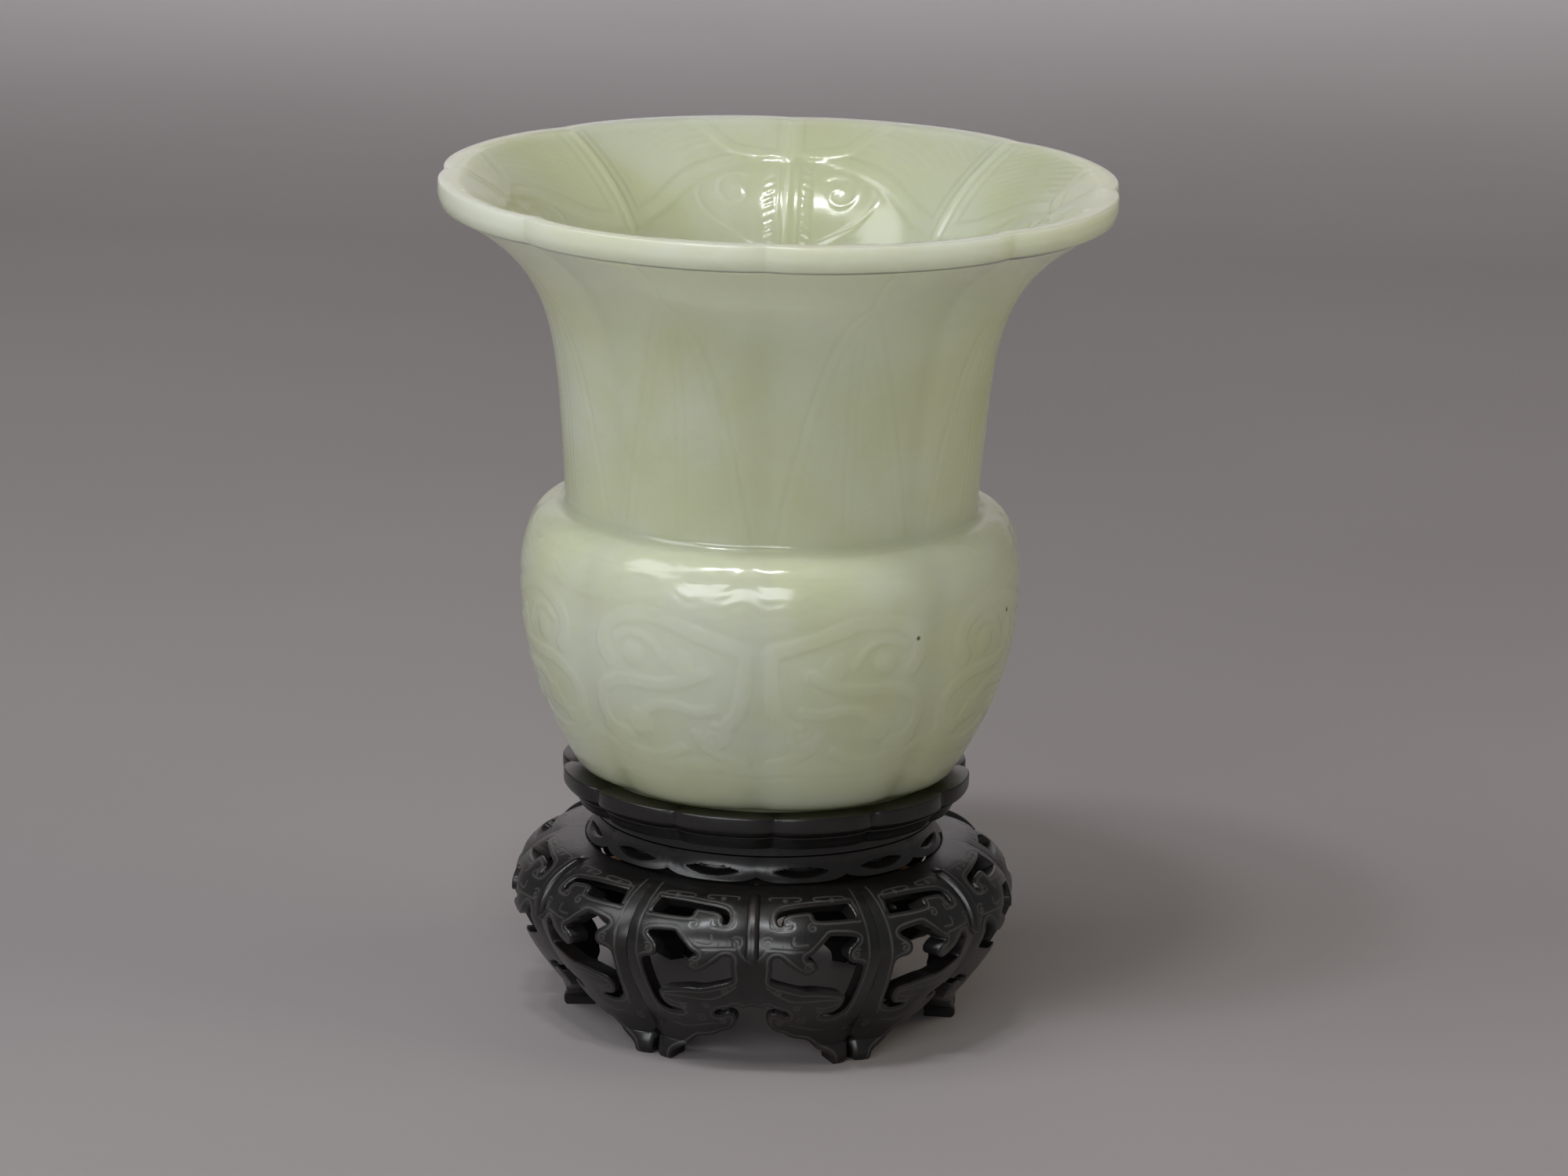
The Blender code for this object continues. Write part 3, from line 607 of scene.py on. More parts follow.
def vase_outline(size):
    """Return rows of the vase's section, from the foot up and in: radius, height, groove depth and zone."""
    neck, shoulder, equator = size.neck_radius, size.shoulder_height, size.equator_height
    lip = VASE_TALL - size.lip_height
    slope = 2.0 * (size.body_radius - size.hem_radius) / (equator - size.hem_height)
    hem_turn = math.atan2(1.0, slope)
    hem_r = size.hem_radius - size.hem_round * math.sin(hem_turn)
    hem_z = size.hem_height + size.hem_round * math.cos(hem_turn)
    under = hem_z - size.hem_round
    foot = size.foot_radius
    recess, recess_depth, chamfer = 0.8 * foot, 2.4 * MM, 0.6 * MM
    hem_deepening = 0.7
    rows = []

    def notch(t):
        return size.groove + (size.rim_groove - size.groove) * t * t

    for r, z in ((recess, recess_depth), (recess, 0.0), (foot - chamfer, 0.0), (foot, chamfer),
                 (foot, 0.6 * under), (foot, 0.88 * under)):
        rows.append((r, z, 0.0, "plain"))
    for turn in np.linspace(0.0, hem_turn, 10)[:-1]:
        r = hem_r + size.hem_round * math.sin(turn)
        z = hem_z - size.hem_round * math.cos(turn)
        rows.append((r, z, (1.0 + hem_deepening) * size.groove, "plain"))
    for z in np.linspace(size.hem_height, equator, 84)[:-1]:
        r, t = body_radius_at(size, z)
        rows.append((r, z, size.groove * (1.0 + hem_deepening * t ** 6), "body"))

    squareness = 2.5
    for turn in np.linspace(0.0, 0.44 * math.pi, 46):
        t = math.sin(turn)
        r = neck + (size.body_radius - neck) * (1.0 - t ** squareness) ** (1.0 / squareness)
        rows.append((r, equator + (shoulder - equator) * t, size.groove, "body"))
    start_r, start_z = rows[-1][:2]
    end_r, end_z = neck + 0.1 * MM, shoulder + 1.8 * MM
    for turn in np.radians(np.linspace(15.0, 75.0, 6)):
        r = start_r + (end_r - start_r) * math.sin(turn)
        rows.append((r, start_z + (end_z - start_z) * (1.0 - math.cos(turn)), size.groove, "neck"))

    flare, flare_power = size.rim_radius - neck - size.neck_taper, 5.5
    for t in 1.0 - (1.0 - np.linspace(0.035, 0.983, 106)) ** 1.25:
        r = neck + size.neck_taper * t + flare * t ** flare_power
        rows.append((r, shoulder + (lip - shoulder) * t, notch(t), "neck"))
    soft, crisp = 3.4 * MM, 0.4 * MM
    for bend, centre, first, last, steps in ((soft, lip + 2.07 * MM, -60.0, 0.0, 10),
                                             (crisp, VASE_TALL - crisp, 0.0, 78.0, 6)):
        for turn in np.radians(np.linspace(first, last, steps)):
            r = size.rim_radius - bend * (1.0 - math.cos(turn))
            rows.append((r, centre + bend * math.sin(turn), size.rim_groove, "plain"))

    bore, taper, mouth_power = neck - size.wall, 0.75 * size.neck_taper, 5.2
    mouth = size.rim_radius - size.lip_width - bore - taper
    steps = (np.linspace(1.0, 0.9, 34)[:-1], np.linspace(0.9, 0.6, 48), np.linspace(0.57, 0.0, 8))
    for t in np.concatenate(steps):
        r = bore + taper * t + mouth * t ** mouth_power
        rows.append((r, shoulder + (VASE_TALL - shoulder) * t, notch(t), "mouth"))
    for part, tuck in ((0.9, 1.0 * MM), (0.82, 0.0), (0.74, 0.0), (0.55, 0.0), (0.4, 0.0)):
        z = part * shoulder
        rows.append((body_radius_at(size, z)[0] - size.wall - tuck, z, 0.0, "plain"))
    corner = size.hem_radius - size.wall
    rows.append((corner, size.floor + 2.4 * MM, 0.0, "plain"))
    rows.append((corner - 7.0 * MM, size.floor, 0.0, "plain"))
    return rows


def body_relief(degrees, height, radius):
    """Return how deep the ground round the body motif is sunk, 0 to 1, the eye's boss and the fine lines."""
    scale = math.radians(1.0) * radius
    a = folded(degrees, MOTIF_PITCH)
    x = a * scale
    field = np.zeros_like(x)
    for half, stroke in BODY_STROKES:
        path = through(stroke) * np.array([scale, 1.0])
        field = np.maximum(field, plateau(path_distance(x, height, path), half, 0.45))
    for curl_a, curl_h, reach in BODY_CURLS:
        path = spiral((curl_a * scale, curl_h), reach, 1.3, math.pi * 0.5)
        field = np.maximum(field, plateau(path_distance(x, height, path), 0.75, 0.6))
    eye_radius, moat, moat_width = 2.5, 2.9, 0.8
    gap = np.hypot(x - BODY_EYE[0] * scale, height - BODY_EYE[1])
    eye = np.sqrt(clamp(1.0 - (gap / eye_radius) ** 2))
    field = field * ease((gap - moat) / moat_width)
    upper = np.interp(a, *np.transpose(through(SHOULDER_EDGE)))
    lower = np.interp(a, *np.transpose(through(HEM_EDGE)))
    fade, thin, below_edge = 2.2, 0.4, 1.4
    ground = ease((upper - height) / fade) * ease((height - lower) / fade)
    cut = 0.6 * line(height - SHOULDER_LINE, thin) + 0.7 * line(height - lower + below_edge, thin)
    return ground * (1.0 - field), eye, cut


def neck_relief(degrees, height, radius):
    """Return the fine lines of the upright leaves on the neck, and their veins."""
    x = np.radians(folded(degrees + 0.5 * LEAF_PITCH, LEAF_PITCH)) * radius
    rise = (height - NECK_LEAF_BASE) / NECK_LEAF_TALL
    half = np.radians(NECK_LEAF_HALF) * radius * clamp(1.0 - rise) ** 0.62
    leaf = half - x
    border, midrib, vein_pitch = 2.4, 0.9, 1.9
    cut = line(leaf, 0.5) + 0.6 * line(leaf - border, 0.45)
    cut += 0.7 * line(x - midrib, 0.4) * (rise > 0.02) * (rise < 0.86)
    vein = stripes((height - 0.55 * x) / vein_pitch)
    patch = ease((leaf - 2.9) / 0.8) * ease((x - 1.8) / 0.8)
    patch *= ease((rise - 0.06) / 0.08) * ease((0.62 - rise) / 0.2)
    return cut * (rise > -0.01), vein * patch


def mouth_relief(degrees, depth, radius):
    """Return the relief of the leaves and scrolls inside the mouth, in millimetres, and its lines."""
    scale = math.radians(1.0) * radius
    x = np.radians(folded(degrees, MOTIF_PITCH)) * radius
    wide, petal_wide = 45.0 * scale, 20.0 * scale
    thin, vein_pitch, rope_pitch = 0.45, 1.9, 1.8
    leaf_rise, petal_rise, rib_rise, vein_depth, rope_rise, scroll_rise = 0.32, 0.22, 0.22, 0.06, 0.2, 0.17

    def metric(points):
        return np.asarray(points, float) * np.array([scale, 1.0])

    edge = metric(through(LEAF_EDGE, 5))
    leaf = signed_distance(x, depth, np.vstack([edge, [(0.0, ABOVE_RIM), (wide, ABOVE_RIM)]]))
    edge = metric(through(RIM_PETAL, 5))
    petal = signed_distance(x, depth, np.vstack([edge, [(petal_wide, ABOVE_RIM), (0.0, ABOVE_RIM)]]))
    height = leaf_rise * ease(0.5 - leaf / 1.1) + petal_rise * ease(0.5 - petal / 0.9)
    off_petal = ease((petal - 0.2) / 0.6)
    cut = 0.7 * line(leaf + 3.4, thin) * off_petal + 0.5 * line(petal + 2.6, thin)

    rib = wide - x
    blade = off_petal * (leaf < 0.6)
    height += blade * rib_rise * line(rib, 0.6)
    cut += blade * 0.9 * line(rib - 1.25, 0.42)
    veins = stripes((depth + 0.9 * rib - 0.012 * rib * rib) / vein_pitch)
    veins = veins * ease(rib - 2.2) * ease(-leaf - 4.0)
    height -= vein_depth * veins * off_petal

    wall = ease((leaf - 0.4) / 0.6) * ease((petal - 0.2) / 0.5)
    spire = 0.3 * line(x, 0.65) + 0.16 * line(x - 2.0, 0.42)
    rope = rope_rise * plateau(np.abs(x - 3.7), 0.9, 0.6) * stripes((depth - 0.5 * x) / rope_pitch)
    tail = path_distance(x, depth, metric(through(SCROLL_TAIL, 6)))
    centre = (SCROLL_CENTRE[0] * scale, SCROLL_CENTRE[1])
    curl = path_distance(x, depth, spiral(centre, SCROLL_REACH, 1.2, -2.3))
    scroll = scroll_rise * np.maximum(line(tail, thin), line(curl, thin))
    height += wall * (spire + rope + scroll)
    return height, cut


def carve_vase(size):
    """Return the vase's points, the masks of its painted shade and of its painted lip glow, and its rows and
    columns.
    """
    rows = vase_outline(size)
    columns = size.columns * VASE_LOBES
    angle = ring_angles(columns)
    degrees = np.degrees(angle)
    radius = np.array([row[0] for row in rows])
    height = np.array([row[1] for row in rows])
    along = np.gradient(np.stack([radius, height]), axis=1)
    along /= np.maximum(np.hypot(*along), 1e-12)
    sharp, soft = lobe_groove(angle, VASE_LOBES), soft_groove(angle, VASE_LOBES)
    first_mouth = next(i for i, row in enumerate(rows) if row[3] == "mouth")
    # Depths in millimetres
    body_line, neck_line, neck_vein, mouth_line, hand_wave = 0.08, 0.09, 0.06, 0.15, 0.05
    depth = 0.0
    points = []
    painted_shade = []
    thin = []
    for i, (r, z, notch, zone) in enumerate(rows):
        lift = np.zeros(columns)
        cut = np.zeros(columns)
        if zone == "body":
            ground, eye, cut = body_relief(degrees, z / MM + 0.0 * angle, r / MM)
            lift = size.relief * (1.4 * eye - ground) - body_line * MM * cut
            on_shoulder = ease((z - size.equator_height) / (4.0 * MM))
            lift = lift + (0.01 + 0.022 * on_shoulder) * MM * ripple(angle, z)
            cut = 0.1 * clamp(cut)
        elif zone == "neck":
            cut, vein = neck_relief(degrees, z / MM + 0.0 * angle, r / MM)
            lift = -(neck_line * cut + neck_vein * vein) * MM
            cut = 0.13 * clamp(cut) + 0.06 * vein
        elif zone == "mouth":
            if i > first_mouth:
                depth += math.hypot(radius[i] - radius[i - 1], height[i] - height[i - 1])
            field, cut = mouth_relief(degrees, depth / MM + 0.0 * angle, r / MM)
            fade = ease(depth / (1.6 * MM)) * ease((42.0 * MM - depth) / (6.0 * MM))
            lift = (field * fade - mouth_line * cut * fade) * MM
            # Painted shade: darkens the cut lines and, from 4 mm below the rim, the whole inside of the
            # mouth
            cut = 0.4 * clamp(cut) * fade + 0.45 * ease(depth / (4.0 * MM))
        if zone != "plain":
            lift = lift + hand_wave * MM * unevenness(angle, z)
        keen = ease((z - 0.86 * VASE_TALL) / (0.1 * VASE_TALL))
        groove = keen * sharp + (1.0 - keen) * soft
        turned = r - notch * groove + lift * along[1, i]
        points.append(turned_points(turned, angle, z + VASE_LOW.z + lift * -along[0, i]))
        # Painted shade: darker in the cut lines and in the creases between the lobes
        painted_shade.append(clamp(cut + 0.02 * groove ** 3 * (notch > 0.0)))
        # Painted glow: the thin layer lightens the neck just under the lip most, the lip's face and top
        # less, and the mouth not at all
        below_lip = ease((z - VASE_TALL + 24.0 * MM) / (18.0 * MM))
        on_lip = ease((z - VASE_TALL + 5.5 * MM) / (2.5 * MM))
        on_top = ease((z - VASE_TALL + 1.2 * MM) / MM)
        lip_glow = below_lip - 0.5 * on_lip - 0.35 * on_top
        thin.append(np.full(columns, 0.0 if zone == "mouth" else lip_glow))
    layers = {"painted_shade": np.concatenate(painted_shade), "thin": np.concatenate(thin)}
    return np.concatenate(points), layers, len(rows), columns


def make_vase(scene):
    """Carve the whole vase."""
    points, layers, rows, columns = carve_vase(scene.jade_vase_sizes)
    base = (0.0, 0.0, points[0][2])
    floor = (0.0, 0.0, points[-1][2])
    points = np.vstack([points, [base, floor]])
    layers = {key: np.append(values, [0.0, 0.0]) for key, values in layers.items()}
    faces = ring_faces(rows, columns, False)
    faces += cap_faces(0, columns, rows * columns, False)
    faces += cap_faces((rows - 1) * columns, columns, rows * columns + 1, True)
    material = shared_finish("polished_jade", jade_finish)
    piece = new_piece("lobed_jade_vase", points, faces, material, layers, 60.0)
    place(piece, "vase", "jade_vase")


# The stand

def drum_profile(size):
    """Return the drum's outer and inner sections along the surface, from the feet up."""
    equator = 0.686 * DRUM_TOP
    ankle = 0.115 * DRUM_TOP
    flange, toe_round = 3.0 * MM, 0.8 * MM
    z = np.concatenate([np.linspace(0.0, ankle, 22)[:-1], np.linspace(ankle, equator, 50)[:-1],
                        equator + (DRUM_TOP - equator) * np.sin(np.linspace(0.0, 0.5 * math.pi, 60))])
    rise = clamp((z - equator) / (DRUM_TOP - equator))
    drop = clamp((equator - z) / (equator - ankle))
    dome = np.sqrt(1.0 - rise ** 2)
    flank = size.drum_radius - (size.drum_radius - size.ankle_radius) * drop ** 1.4
    spread = size.drum_radius - size.drum_top_radius
    outer = np.where(z >= equator, size.drum_top_radius + spread * dome, flank)
    toe = ease(1.2 * (1.0 - z / (2.0 * ankle)))
    tuck = clamp(1.0 - z / (0.3 * ankle))
    outer = outer + size.foot_flare * toe - toe_round * (1.0 - np.sqrt(1.0 - 0.95 * tuck ** 2))
    lowered = equator + (z - equator) * (DRUM_TOP - flange - equator) / (DRUM_TOP - equator)
    inner_z = np.where(z >= equator, lowered, z)
    land = size.drum_top_radius - flange
    inner_spread = size.drum_radius - size.panel_wall - land
    inner = np.where(z >= equator, land + inner_spread * dome, flank - size.panel_wall)
    path = np.concatenate([[0.0], np.cumsum(np.hypot(np.diff(outer), np.diff(z)))])
    return z, outer, inner_z, inner, path


def pierced_sheet(x, y, field):
    """Cut a grid along the zero line of a field: return places, faces and open edges of what is left."""
    index = -np.ones(field.shape, int)
    solid = field > 0.0
    index[solid] = np.arange(solid.sum())
    grid_x, grid_y = np.meshgrid(x, y)
    places = list(zip(grid_x[solid], grid_y[solid]))
    cuts = {}

    def corner(a, b):
        key = (min(a, b), max(a, b))
        if key not in cuts:
            t = field[a] / (field[a] - field[b])
            cuts[key] = len(places)
            places.append((x[a[1]] + t * (x[b[1]] - x[a[1]]), y[a[0]] + t * (y[b[0]] - y[a[0]])))
        return cuts[key]

    full = solid[:-1, :-1] & solid[:-1, 1:] & solid[1:, 1:] & solid[1:, :-1]
    part = (solid[:-1, :-1] | solid[:-1, 1:] | solid[1:, 1:] | solid[1:, :-1]) & ~full
    quads = np.stack([index[:-1, :-1], index[:-1, 1:], index[1:, 1:], index[1:, :-1]], axis=-1)[full]
    faces = quads.tolist()
    for j, i in np.argwhere(part):
        ring = [(j, i), (j, i + 1), (j + 1, i + 1), (j + 1, i)]
        face = []
        for a, b in zip(ring, ring[1:] + ring[:1]):
            if solid[a]:
                face.append(index[a])
            if solid[a] != solid[b]:
                face.append(corner(a, b))
        faces.append([int(v) for v in face])
    edges = {}
    for face in faces:
        for a, b in zip(face, face[1:] + face[:1]):
            if (b, a) in edges:
                del edges[(b, a)]
            else:
                edges[(a, b)] = True
    return np.array(places), faces, list(edges)


def panel_outlines(to_plane):
    """Return the outlines of a panel's openings in the plane of its unrolled face."""
    outlines = []
    for half in (HORN_SLOT, JAW_WINDOW, TOE_GAP):
        for side in (1.0, -1.0):
            outlines.append(to_plane(through(half, 4, True) * np.array([side, 1.0])))
    arch = through(FOOT_ARCH, 4)
    outlines.append(to_plane(np.vstack([arch, arch[::-1][1:] * np.array([-1.0, 1.0])])))
    return outlines


def panel_marks(x, y, to_plane):
    """Return how strongly the incised lines and curls of a panel mark each place."""
    mark = np.zeros_like(x)
    x = np.abs(x)
    line_half, curl_half = 0.15 * MM, 0.14 * MM
    for points in PANEL_LINES:
        mark = np.maximum(mark, line(path_distance(x, y, to_plane(through(points, 5))), line_half))
    for a, p, reach in PANEL_CURLS:
        centre = to_plane(np.array([(a, p)]))[0]
        curl = spiral(centre, reach * MM, 1.3, 0.8, 26)
        mark = np.maximum(mark, line(path_distance(x, y, curl), curl_half))
    return mark


def carve_panel(size):
    """Return the points, faces and surface layers of one carved panel, centred on the front."""
    z, outer, inner_z, inner, path = drum_profile(size)
    mean = 0.96 * size.drum_radius
    joint_gap = 0.02 * MM
    edge = math.pi / PANELS - joint_gap / (size.drum_top_radius - 3.0 * MM)

    def to_plane(points):
        height = points[:, 1] * 0.01 * DRUM_TOP
        rise = np.where(height < 0.0, height, np.interp(height, z, path))
        return np.stack([np.radians(points[:, 0]) * mean, rise], axis=1)

    outlines = panel_outlines(to_plane)

    def openness(px, py):
        nearest = np.full(np.shape(px), np.inf)
        for outline in outlines:
            nearest = np.minimum(nearest, signed_distance(px, py, outline))
        return nearest

    columns = 2 * math.ceil(edge * mean / size.mesh_step) + 1
    x = np.linspace(-edge, edge, columns) * mean
    y = np.linspace(0.0, path[-1], math.ceil(path[-1] / size.mesh_step) + 1)
    field = openness(*np.meshgrid(x, y))
    least = 0.12 * size.mesh_step
    field = np.where(np.abs(field) < least, np.where(field < 0.0, -least, least), field)
    places, faces, edges = pierced_sheet(x, y, field)

    px, py = places[:, 0], places[:, 1]
    angle = px / mean
    degrees = np.degrees(angle)
    pz = np.interp(py, path, z)
    reach = np.clip(openness(px, py), 0.0, None)
    side = edge * mean - np.abs(px)
    rounding = clamp(1.0 - reach / size.edge_round)
    drop = size.edge_round * (1.0 - np.sqrt(1.0 - 0.92 * rounding ** 2))
    pillow = 0.2 * MM * (1.0 - np.exp(-reach / (1.5 * MM)))
    above_keel_foot = pz / DRUM_TOP - 0.665
    high = ease(above_keel_foot / 0.03) * ease((1.0 - pz / DRUM_TOP) / 0.04)
    keel_half = 0.5 + 1.1 * ease(above_keel_foot / 0.06)
    keel = size.keel * high * np.sqrt(clamp(1.0 - (degrees / keel_half) ** 2))
    border = line(reach - 0.9 * MM, 0.15 * MM) * ease((side - 2.6 * MM) / (0.6 * MM))
    mark = np.maximum(panel_marks(px, py, to_plane), border)
    calm = ease((DRUM_TOP - pz) / (1.5 * MM))
    foot = ease((0.15 * DRUM_TOP - pz) / (0.03 * DRUM_TOP))
    seam = 0.9 * MM * foot * clamp(1.0 - side / (1.8 * MM)) ** 2
    wave = 0.06 * MM * unevenness(3.0 * angle, 3.0 * pz)
    lift = calm * (pillow - drop + keel - size.line_depth * mark - seam + wave)
    slope_r = np.interp(py, y, np.gradient(np.interp(y, path, outer), y))
    slope_z = np.interp(py, y, np.gradient(np.interp(y, path, z), y))
    groove = size.panel_groove * round_lobe(degrees, 180.0 / PANELS) * calm
    inset = 0.08 * MM
    radius = np.interp(py, path, outer) - groove + lift * slope_z - inset * calm
    front = turned_points(radius, angle, np.maximum(pz - lift * slope_r, 0.0))
    back = turned_points(np.interp(py, path, inner), angle, np.interp(py, path, inner_z))

    count = len(places)
    every = list(faces)
    every += [[v + count for v in reversed(face)] for face in faces]
    every += [[b, a, a + count, b + count] for a, b in edges]
    # The inner layer marks the back sheet, which the wood finish darkens with painted shade
    worn = clamp(1.0 - reach / (0.9 * MM)) + high * (keel > 0.5 * size.keel)
    plain = np.zeros(count)
    layers = {"edge": np.concatenate([worn, plain]), "line": np.concatenate([mark, plain]),
              "inner": np.concatenate([plain, plain + 1.0])}
    return np.vstack([front, back]), every, layers


def add_wood(name, node, points, faces, layers, crease=50.0):
    """Add a carved piece of the stand in place of a node."""
    material = shared_finish("dark_carved_wood", wood_finish)
    piece = new_piece(name, points, faces, material, layers, crease)
    place(piece, "stand", node)


def make_panels(scene):
    """Carve the six openwork panels."""
    points, faces, layers = carve_panel(scene.stand_sizes)
    for i in range(PANELS):
        turn = np.array(Matrix.Rotation(math.tau * i / PANELS, 3, "Z"))
        add_wood(f"carved_panel_{i + 1}", f"openwork_panel_{i + 1}", points @ turn.T, faces, layers, 48.0)


def make_collar(scene):
    """Carve the scalloped collar that holds the foot."""
    size = scene.stand_sizes
    low = COLLAR_LOW.z
    tall = COLLAR_HIGH.z - low
    rim = COLLAR_HIGH.x
    bore = scene.jade_vase_sizes.foot_radius + 0.8 * MM
    # Section: radius, part of the height and share of the scallops' depth
    keys = [(bore, 0.0, 0.0), (rim - 3.8 * MM, 0.0, 0.9), (rim - 3.2 * MM, 0.05, 1.0),
            (rim - 2.6 * MM, 0.22, 1.0), (rim - 2.0 * MM, 0.36, 1.0), (rim - 2.2 * MM, 0.385, 1.0),
            (rim - 1.7 * MM, 0.41, 1.0), (rim - 0.9 * MM, 0.47, 1.1), (rim - 0.25 * MM, 0.56, 1.2),
            (rim, 0.68, 1.3), (rim, 0.93, 1.3), (rim - 0.12 * MM, 0.985, 1.3), (rim - 0.45 * MM, 1.0, 1.2),
            (rim - 2.6 * MM, 0.985, 0.5), (bore + 1.9 * MM, 0.96, 0.1), (bore + 1.4 * MM, 0.94, 0.0),
            (bore + 0.4 * MM, 0.6, 0.0), (bore, 0.4, 0.0)]
    section = through(keys, 4, True)
    columns = 40 * SCALLOPS
    angle = ring_angles(columns)
    notch = lobe_groove(angle - size.collar_turn, SCALLOPS)
    dip, hand_wave = 0.45 * MM, 0.05 * MM
    points = []
    worn = []
    for r, part, share in section:
        z = low + part * tall
        outside = r > bore + 3.0 * MM
        radius = r - share * size.scallop * notch + hand_wave * unevenness(2.0 * angle, 4.0 * z) * outside
        points.append(turned_points(radius, angle, z - dip * notch * (part > 0.9) * outside))
        worn.append(np.full(columns, 0.4 if part > 0.9 and r > rim - 2.4 * MM else 0.0))
    faces = ring_faces(len(section), columns, True)
    layers = {"edge": np.concatenate(worn)}
    add_wood("scalloped_collar", "collar_ring", np.concatenate(points), faces, layers)


def make_skirt():
    """Carve the ring of hanging petals with their almond eyelets."""
    low, high = SKIRT_LOW.z, SKIRT_HIGH.z
    bore, ledge, scallop = 20.0 * MM, 32.0 * MM, 0.8 * MM
    eyelet_place, eyelet_half, eyelet_degrees, eyelet_depth = 0.62, 0.19, 9.4, 1.9 * MM
    columns = 48 * SCALLOPS
    angle = ring_angles(columns)
    notch = lobe_groove(angle, SCALLOPS)
    within = folded(np.degrees(angle) + 0.5 * PETAL_PITCH, PETAL_PITCH)
    hem = low + 0.05 * MM + 0.9 * MM * notch
    points = []
    worn = []

    def add(radius, height, edge):
        points.append(turned_points(radius, angle, height))
        worn.append(np.full(columns, edge))

    add(bore, high, 0.0)
    for v in np.linspace(0.0, 1.0, 22):
        r = WAIST_RADIUS + 1.7 * MM * v ** 2.4 - scallop * notch * v
        off = np.abs(v - eyelet_place)
        lens = eyelet_half * np.clip(1.0 - (within / eyelet_degrees) ** 2, 0.0, None)
        hole = ease((lens - off) / 0.10)
        brim = line((off - lens) / 0.12, 1.0) * (within < 10.5)
        fold = line(np.radians(within) * r - np.radians(0.5 * PETAL_PITCH) * r, 0.5 * MM)
        radius = r - eyelet_depth * hole + 0.06 * MM * brim * (1.0 - hole) + 0.1 * MM * fold * v
        add(radius, high + (hem - high) * v, 0.4 * ease((v - 0.8) / 0.15))
    add(WAIST_RADIUS + 1.0 * MM - scallop * notch, hem, 0.4)
    add(ledge, low, 0.0)
    add(bore, low, 0.0)
    faces = [face[::-1] for face in ring_faces(len(points), columns, True)]
    layers = {"edge": np.concatenate(worn)}
    add_wood("petal_ring", "petal_skirt", np.concatenate(points), faces, layers)


def dress_joinery():
    """Give the turned boards and rings their wood, and the pegs theirs."""
    wood = shared_finish("dark_carved_wood", wood_finish)
    pegs = shared_finish("plain_peg_wood", peg_finish)
    for name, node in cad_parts.items():
        if name in ("waist_ring", "seat_board", "crown_ring"):
            node.data.materials.clear()
            node.data.materials.append(wood)
        elif name.startswith(("joint_dowel", "crown_peg", "stack_peg")):
            node.data.materials.clear()
            node.data.materials.append(pegs)


# The stage

def make_floor():
    """Make the floor with its backdrop swept up behind."""
    half, front, depth, bend, top = 2.2, -2.0, 1.6, 0.5, 2.4
    profile = [(front, 0.0), (0.0, 0.0), (depth, 0.0)]
    for turn in np.radians(np.linspace(7.5, 90.0, 12)):
        profile.append((depth + bend * math.sin(turn), bend * (1.0 - math.cos(turn))))
    profile.append((depth + bend, top))
    points = np.array([(side, y, z) for y, z in profile for side in (-half, half)])
    faces = [(2 * i, 2 * i + 1, 2 * i + 3, 2 * i + 2) for i in range(len(profile) - 1)]
    floor = new_piece("studio_floor", points, faces, shared_finish("pale_floor", floor_finish), crease=60.0)


def add_lamp(name, power, colour, spot, aim, size, glint=True):
    """Add a soft lamp that points at a place and shows in reflections or not."""
    lamp = bpy.data.lights.new(name, "AREA")
    lamp.energy = power
    lamp.color = colour
    lamp.shape = "RECTANGLE"
    lamp.size, lamp.size_y = size
    holder = bpy.data.objects.new(name, lamp)
    holder.location = spot
    holder.visible_glossy = glint
    holder.rotation_euler = (Vector(aim) - Vector(spot)).to_track_quat("-Z", "Y").to_euler()
    bpy.context.scene.collection.objects.link(holder)


def make_lights(setup):
    """Add the lamps and the even light."""
    aim, behind = (0.0, 0.0, 0.09), (-0.2, 2.2, 0.3)
    cool, warm, even = (0.955, 0.975, 1.0), (1.0, 0.915, 0.68), (0.95, 0.97, 1.0, 1.0)
    add_lamp("key_lamp", setup.key, cool, (-0.32, -0.455, 1.15), aim, (0.14, 0.11))
    add_lamp("second_key_lamp", setup.key, cool, (-0.12, -0.45, 1.2), aim, (0.14, 0.11))
    add_lamp("ceiling_lamp", setup.ceiling, cool, (-0.2, -0.5, 1.6), aim, (1.6, 1.2))
    add_lamp("side_lamp", setup.side, cool, (-0.95, -0.45, 1.1), aim, (0.7, 0.7))
    add_lamp("fill_lamp", setup.fill, warm, (1.15, -0.13, 0.9), aim, (0.8, 0.8), glint=False)
    add_lamp("front_lamp", setup.front, cool, (-0.45, -1.48, 0.64), aim, (1.3, 0.5))
    add_lamp("backdrop_lamp", setup.backdrop, cool, (-0.2, 1.4, 0.9), behind, (1.2, 0.5))
    world = bpy.data.worlds.new("even_light")
    world.use_nodes = True
    light = world.node_tree.nodes["Background"]
    light.inputs["Color"].default_value = even
    light.inputs["Strength"].default_value = setup.sky
    bpy.context.scene.world = world


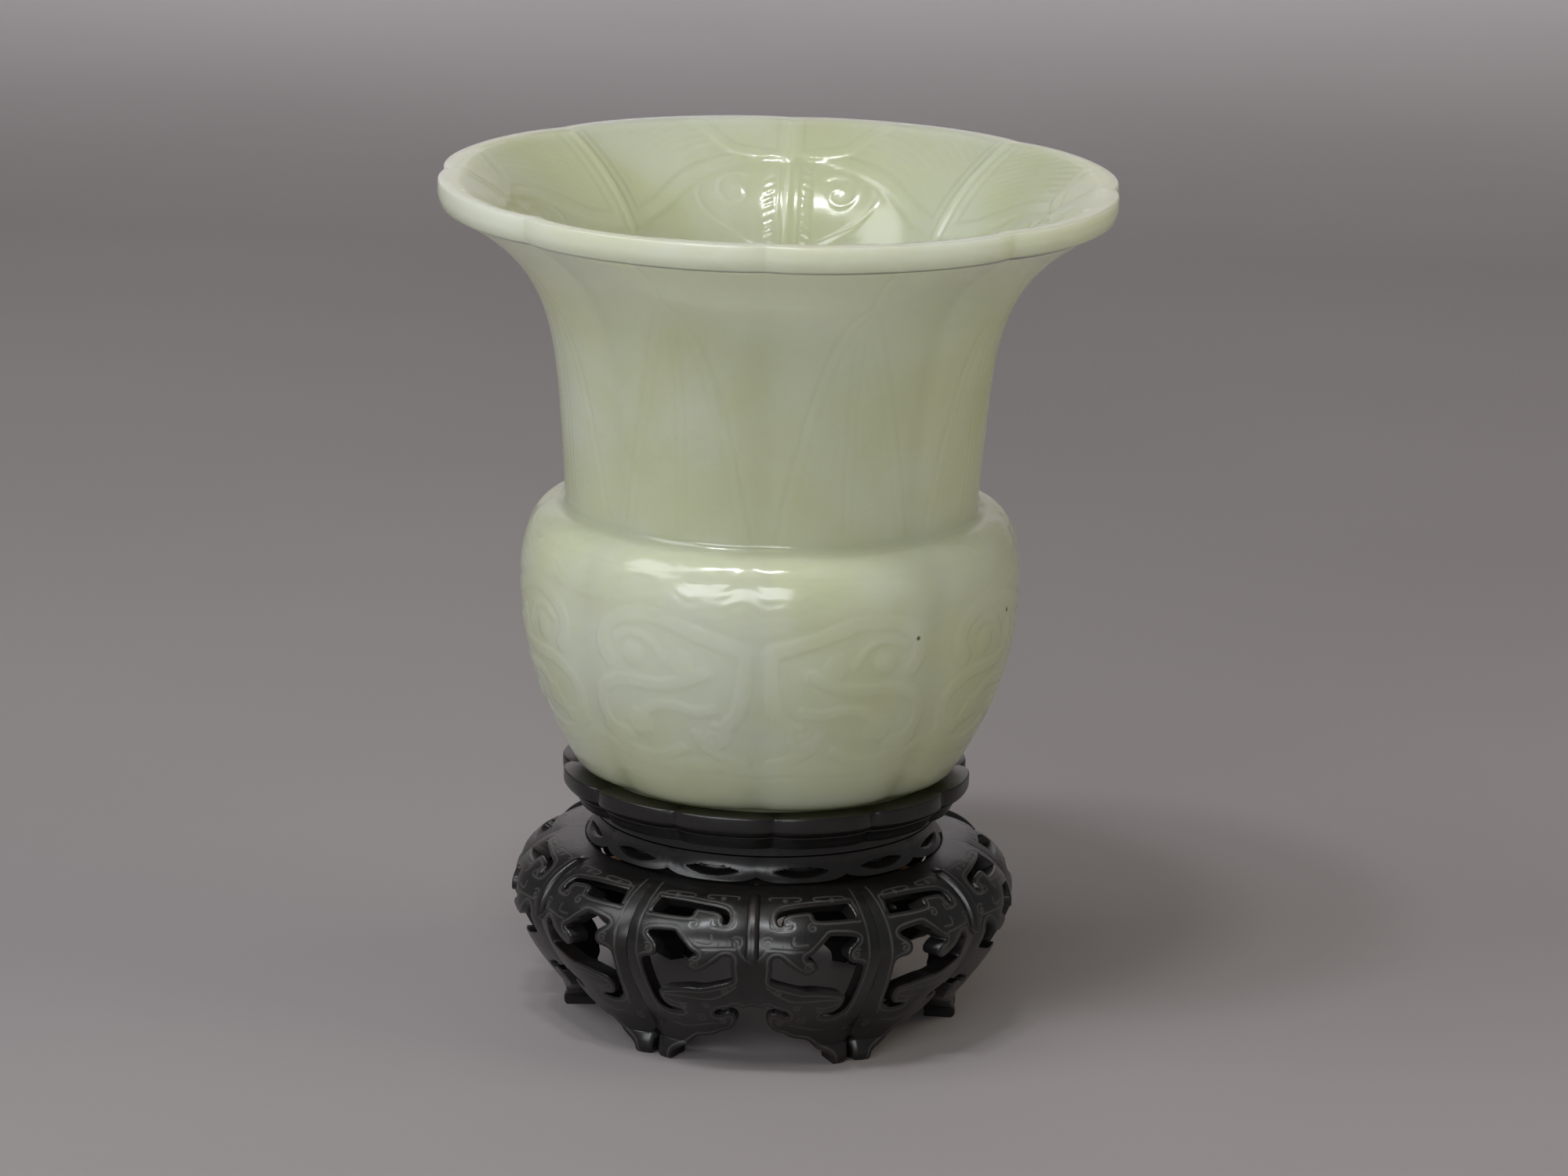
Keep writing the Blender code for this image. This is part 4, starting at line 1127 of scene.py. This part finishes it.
def make_camera(setup):
    """Set the camera at the photograph's angle."""
    out = Vector((math.sin(setup.azimuth) * math.cos(setup.elevation),
                  -math.cos(setup.azimuth) * math.cos(setup.elevation), math.sin(setup.elevation)))
    turn = (-out).to_track_quat("-Z", "Y").to_matrix()
    right, up = turn.col[0], turn.col[1]
    lens = bpy.data.cameras.new("photo_camera")
    lens.lens = setup.lens
    lens.sensor_width = 36.0
    lens.clip_end = 20.0
    camera = bpy.data.objects.new("photo_camera", lens)
    aim = Vector((0.0, 0.0, setup.aim_height)) + right * setup.aim_right + up * setup.aim_up
    roll = Matrix.Rotation(setup.roll, 3, "Z")
    camera.matrix_world = Matrix.Translation(aim + out * setup.distance) @ (turn @ roll).to_4x4()
    bpy.context.scene.collection.objects.link(camera)
    bpy.context.scene.camera = camera


# Operators

class CarveVase(bpy.types.Operator):
    """Carve the lobed jade vase"""

    bl_idname = "jade_vase.carve_vase"
    bl_label = "Carve vase"

    def execute(self, context):
        make_vase(context.scene)
        return {"FINISHED"}


class CarveCollar(bpy.types.Operator):
    """Carve the scalloped collar"""

    bl_idname = "jade_vase.carve_collar"
    bl_label = "Carve collar"

    def execute(self, context):
        make_collar(context.scene)
        return {"FINISHED"}


class CarveSkirt(bpy.types.Operator):
    """Carve the ring of hanging petals"""

    bl_idname = "jade_vase.carve_skirt"
    bl_label = "Carve petal ring"

    def execute(self, context):
        make_skirt()
        return {"FINISHED"}


class CarvePanels(bpy.types.Operator):
    """Carve the six openwork panels with their feet"""

    bl_idname = "jade_vase.carve_panels"
    bl_label = "Carve panels"

    def execute(self, context):
        make_panels(context.scene)
        return {"FINISHED"}


class DressJoinery(bpy.types.Operator):
    """Give the rings, the board and the pegs their wood"""

    bl_idname = "jade_vase.dress_joinery"
    bl_label = "Dress joinery"

    def execute(self, context):
        dress_joinery()
        return {"FINISHED"}


class SetStage(bpy.types.Operator):
    """Add the floor, the lamps and the camera"""

    bl_idname = "jade_vase.set_stage"
    bl_label = "Set stage"

    def execute(self, context):
        context.scene.view_settings.view_transform = "Standard"
        make_floor()
        make_lights(context.scene.stage_setup)
        make_camera(context.scene.stage_setup)
        return {"FINISHED"}


class JadeVasePanel(bpy.types.Panel):
    """Sidebar list of the carving steps"""

    bl_idname = "VIEW3D_PT_jade_vase"
    bl_label = "Jade vase and stand"
    bl_space_type = "VIEW_3D"
    bl_region_type = "UI"
    bl_category = "Jade vase"

    def draw(self, context):
        for step in STEPS:
            self.layout.operator(step.bl_idname)


SETTINGS = {
    "jade_vase_sizes": JadeVaseSizes,
    "stand_sizes": StandSizes,
    "finish_colours": FinishColours,
    "stage_setup": StageSetup,
}
STEPS = (CarveVase, CarveCollar, CarveSkirt, CarvePanels, DressJoinery, SetStage)


def register():
    """Register the settings, the operators and the panel."""
    for name, group in SETTINGS.items():
        bpy.utils.register_class(group)
        setattr(bpy.types.Scene, name, PointerProperty(type=group))
    for item in (*STEPS, JadeVasePanel):
        bpy.utils.register_class(item)


def unregister():
    """Remove the panel, the operators and the settings."""
    for item in (JadeVasePanel, *reversed(STEPS)):
        bpy.utils.unregister_class(item)
    for name, group in reversed(SETTINGS.items()):
        delattr(bpy.types.Scene, name)
        bpy.utils.unregister_class(group)


def main():
    """Carve every piece and set the stage."""
    register()
    bpy.ops.jade_vase.carve_vase()
    bpy.ops.jade_vase.carve_collar()
    bpy.ops.jade_vase.carve_skirt()
    bpy.ops.jade_vase.carve_panels()
    bpy.ops.jade_vase.dress_joinery()
    bpy.ops.jade_vase.set_stage()


if __name__ == "__main__":
    main()
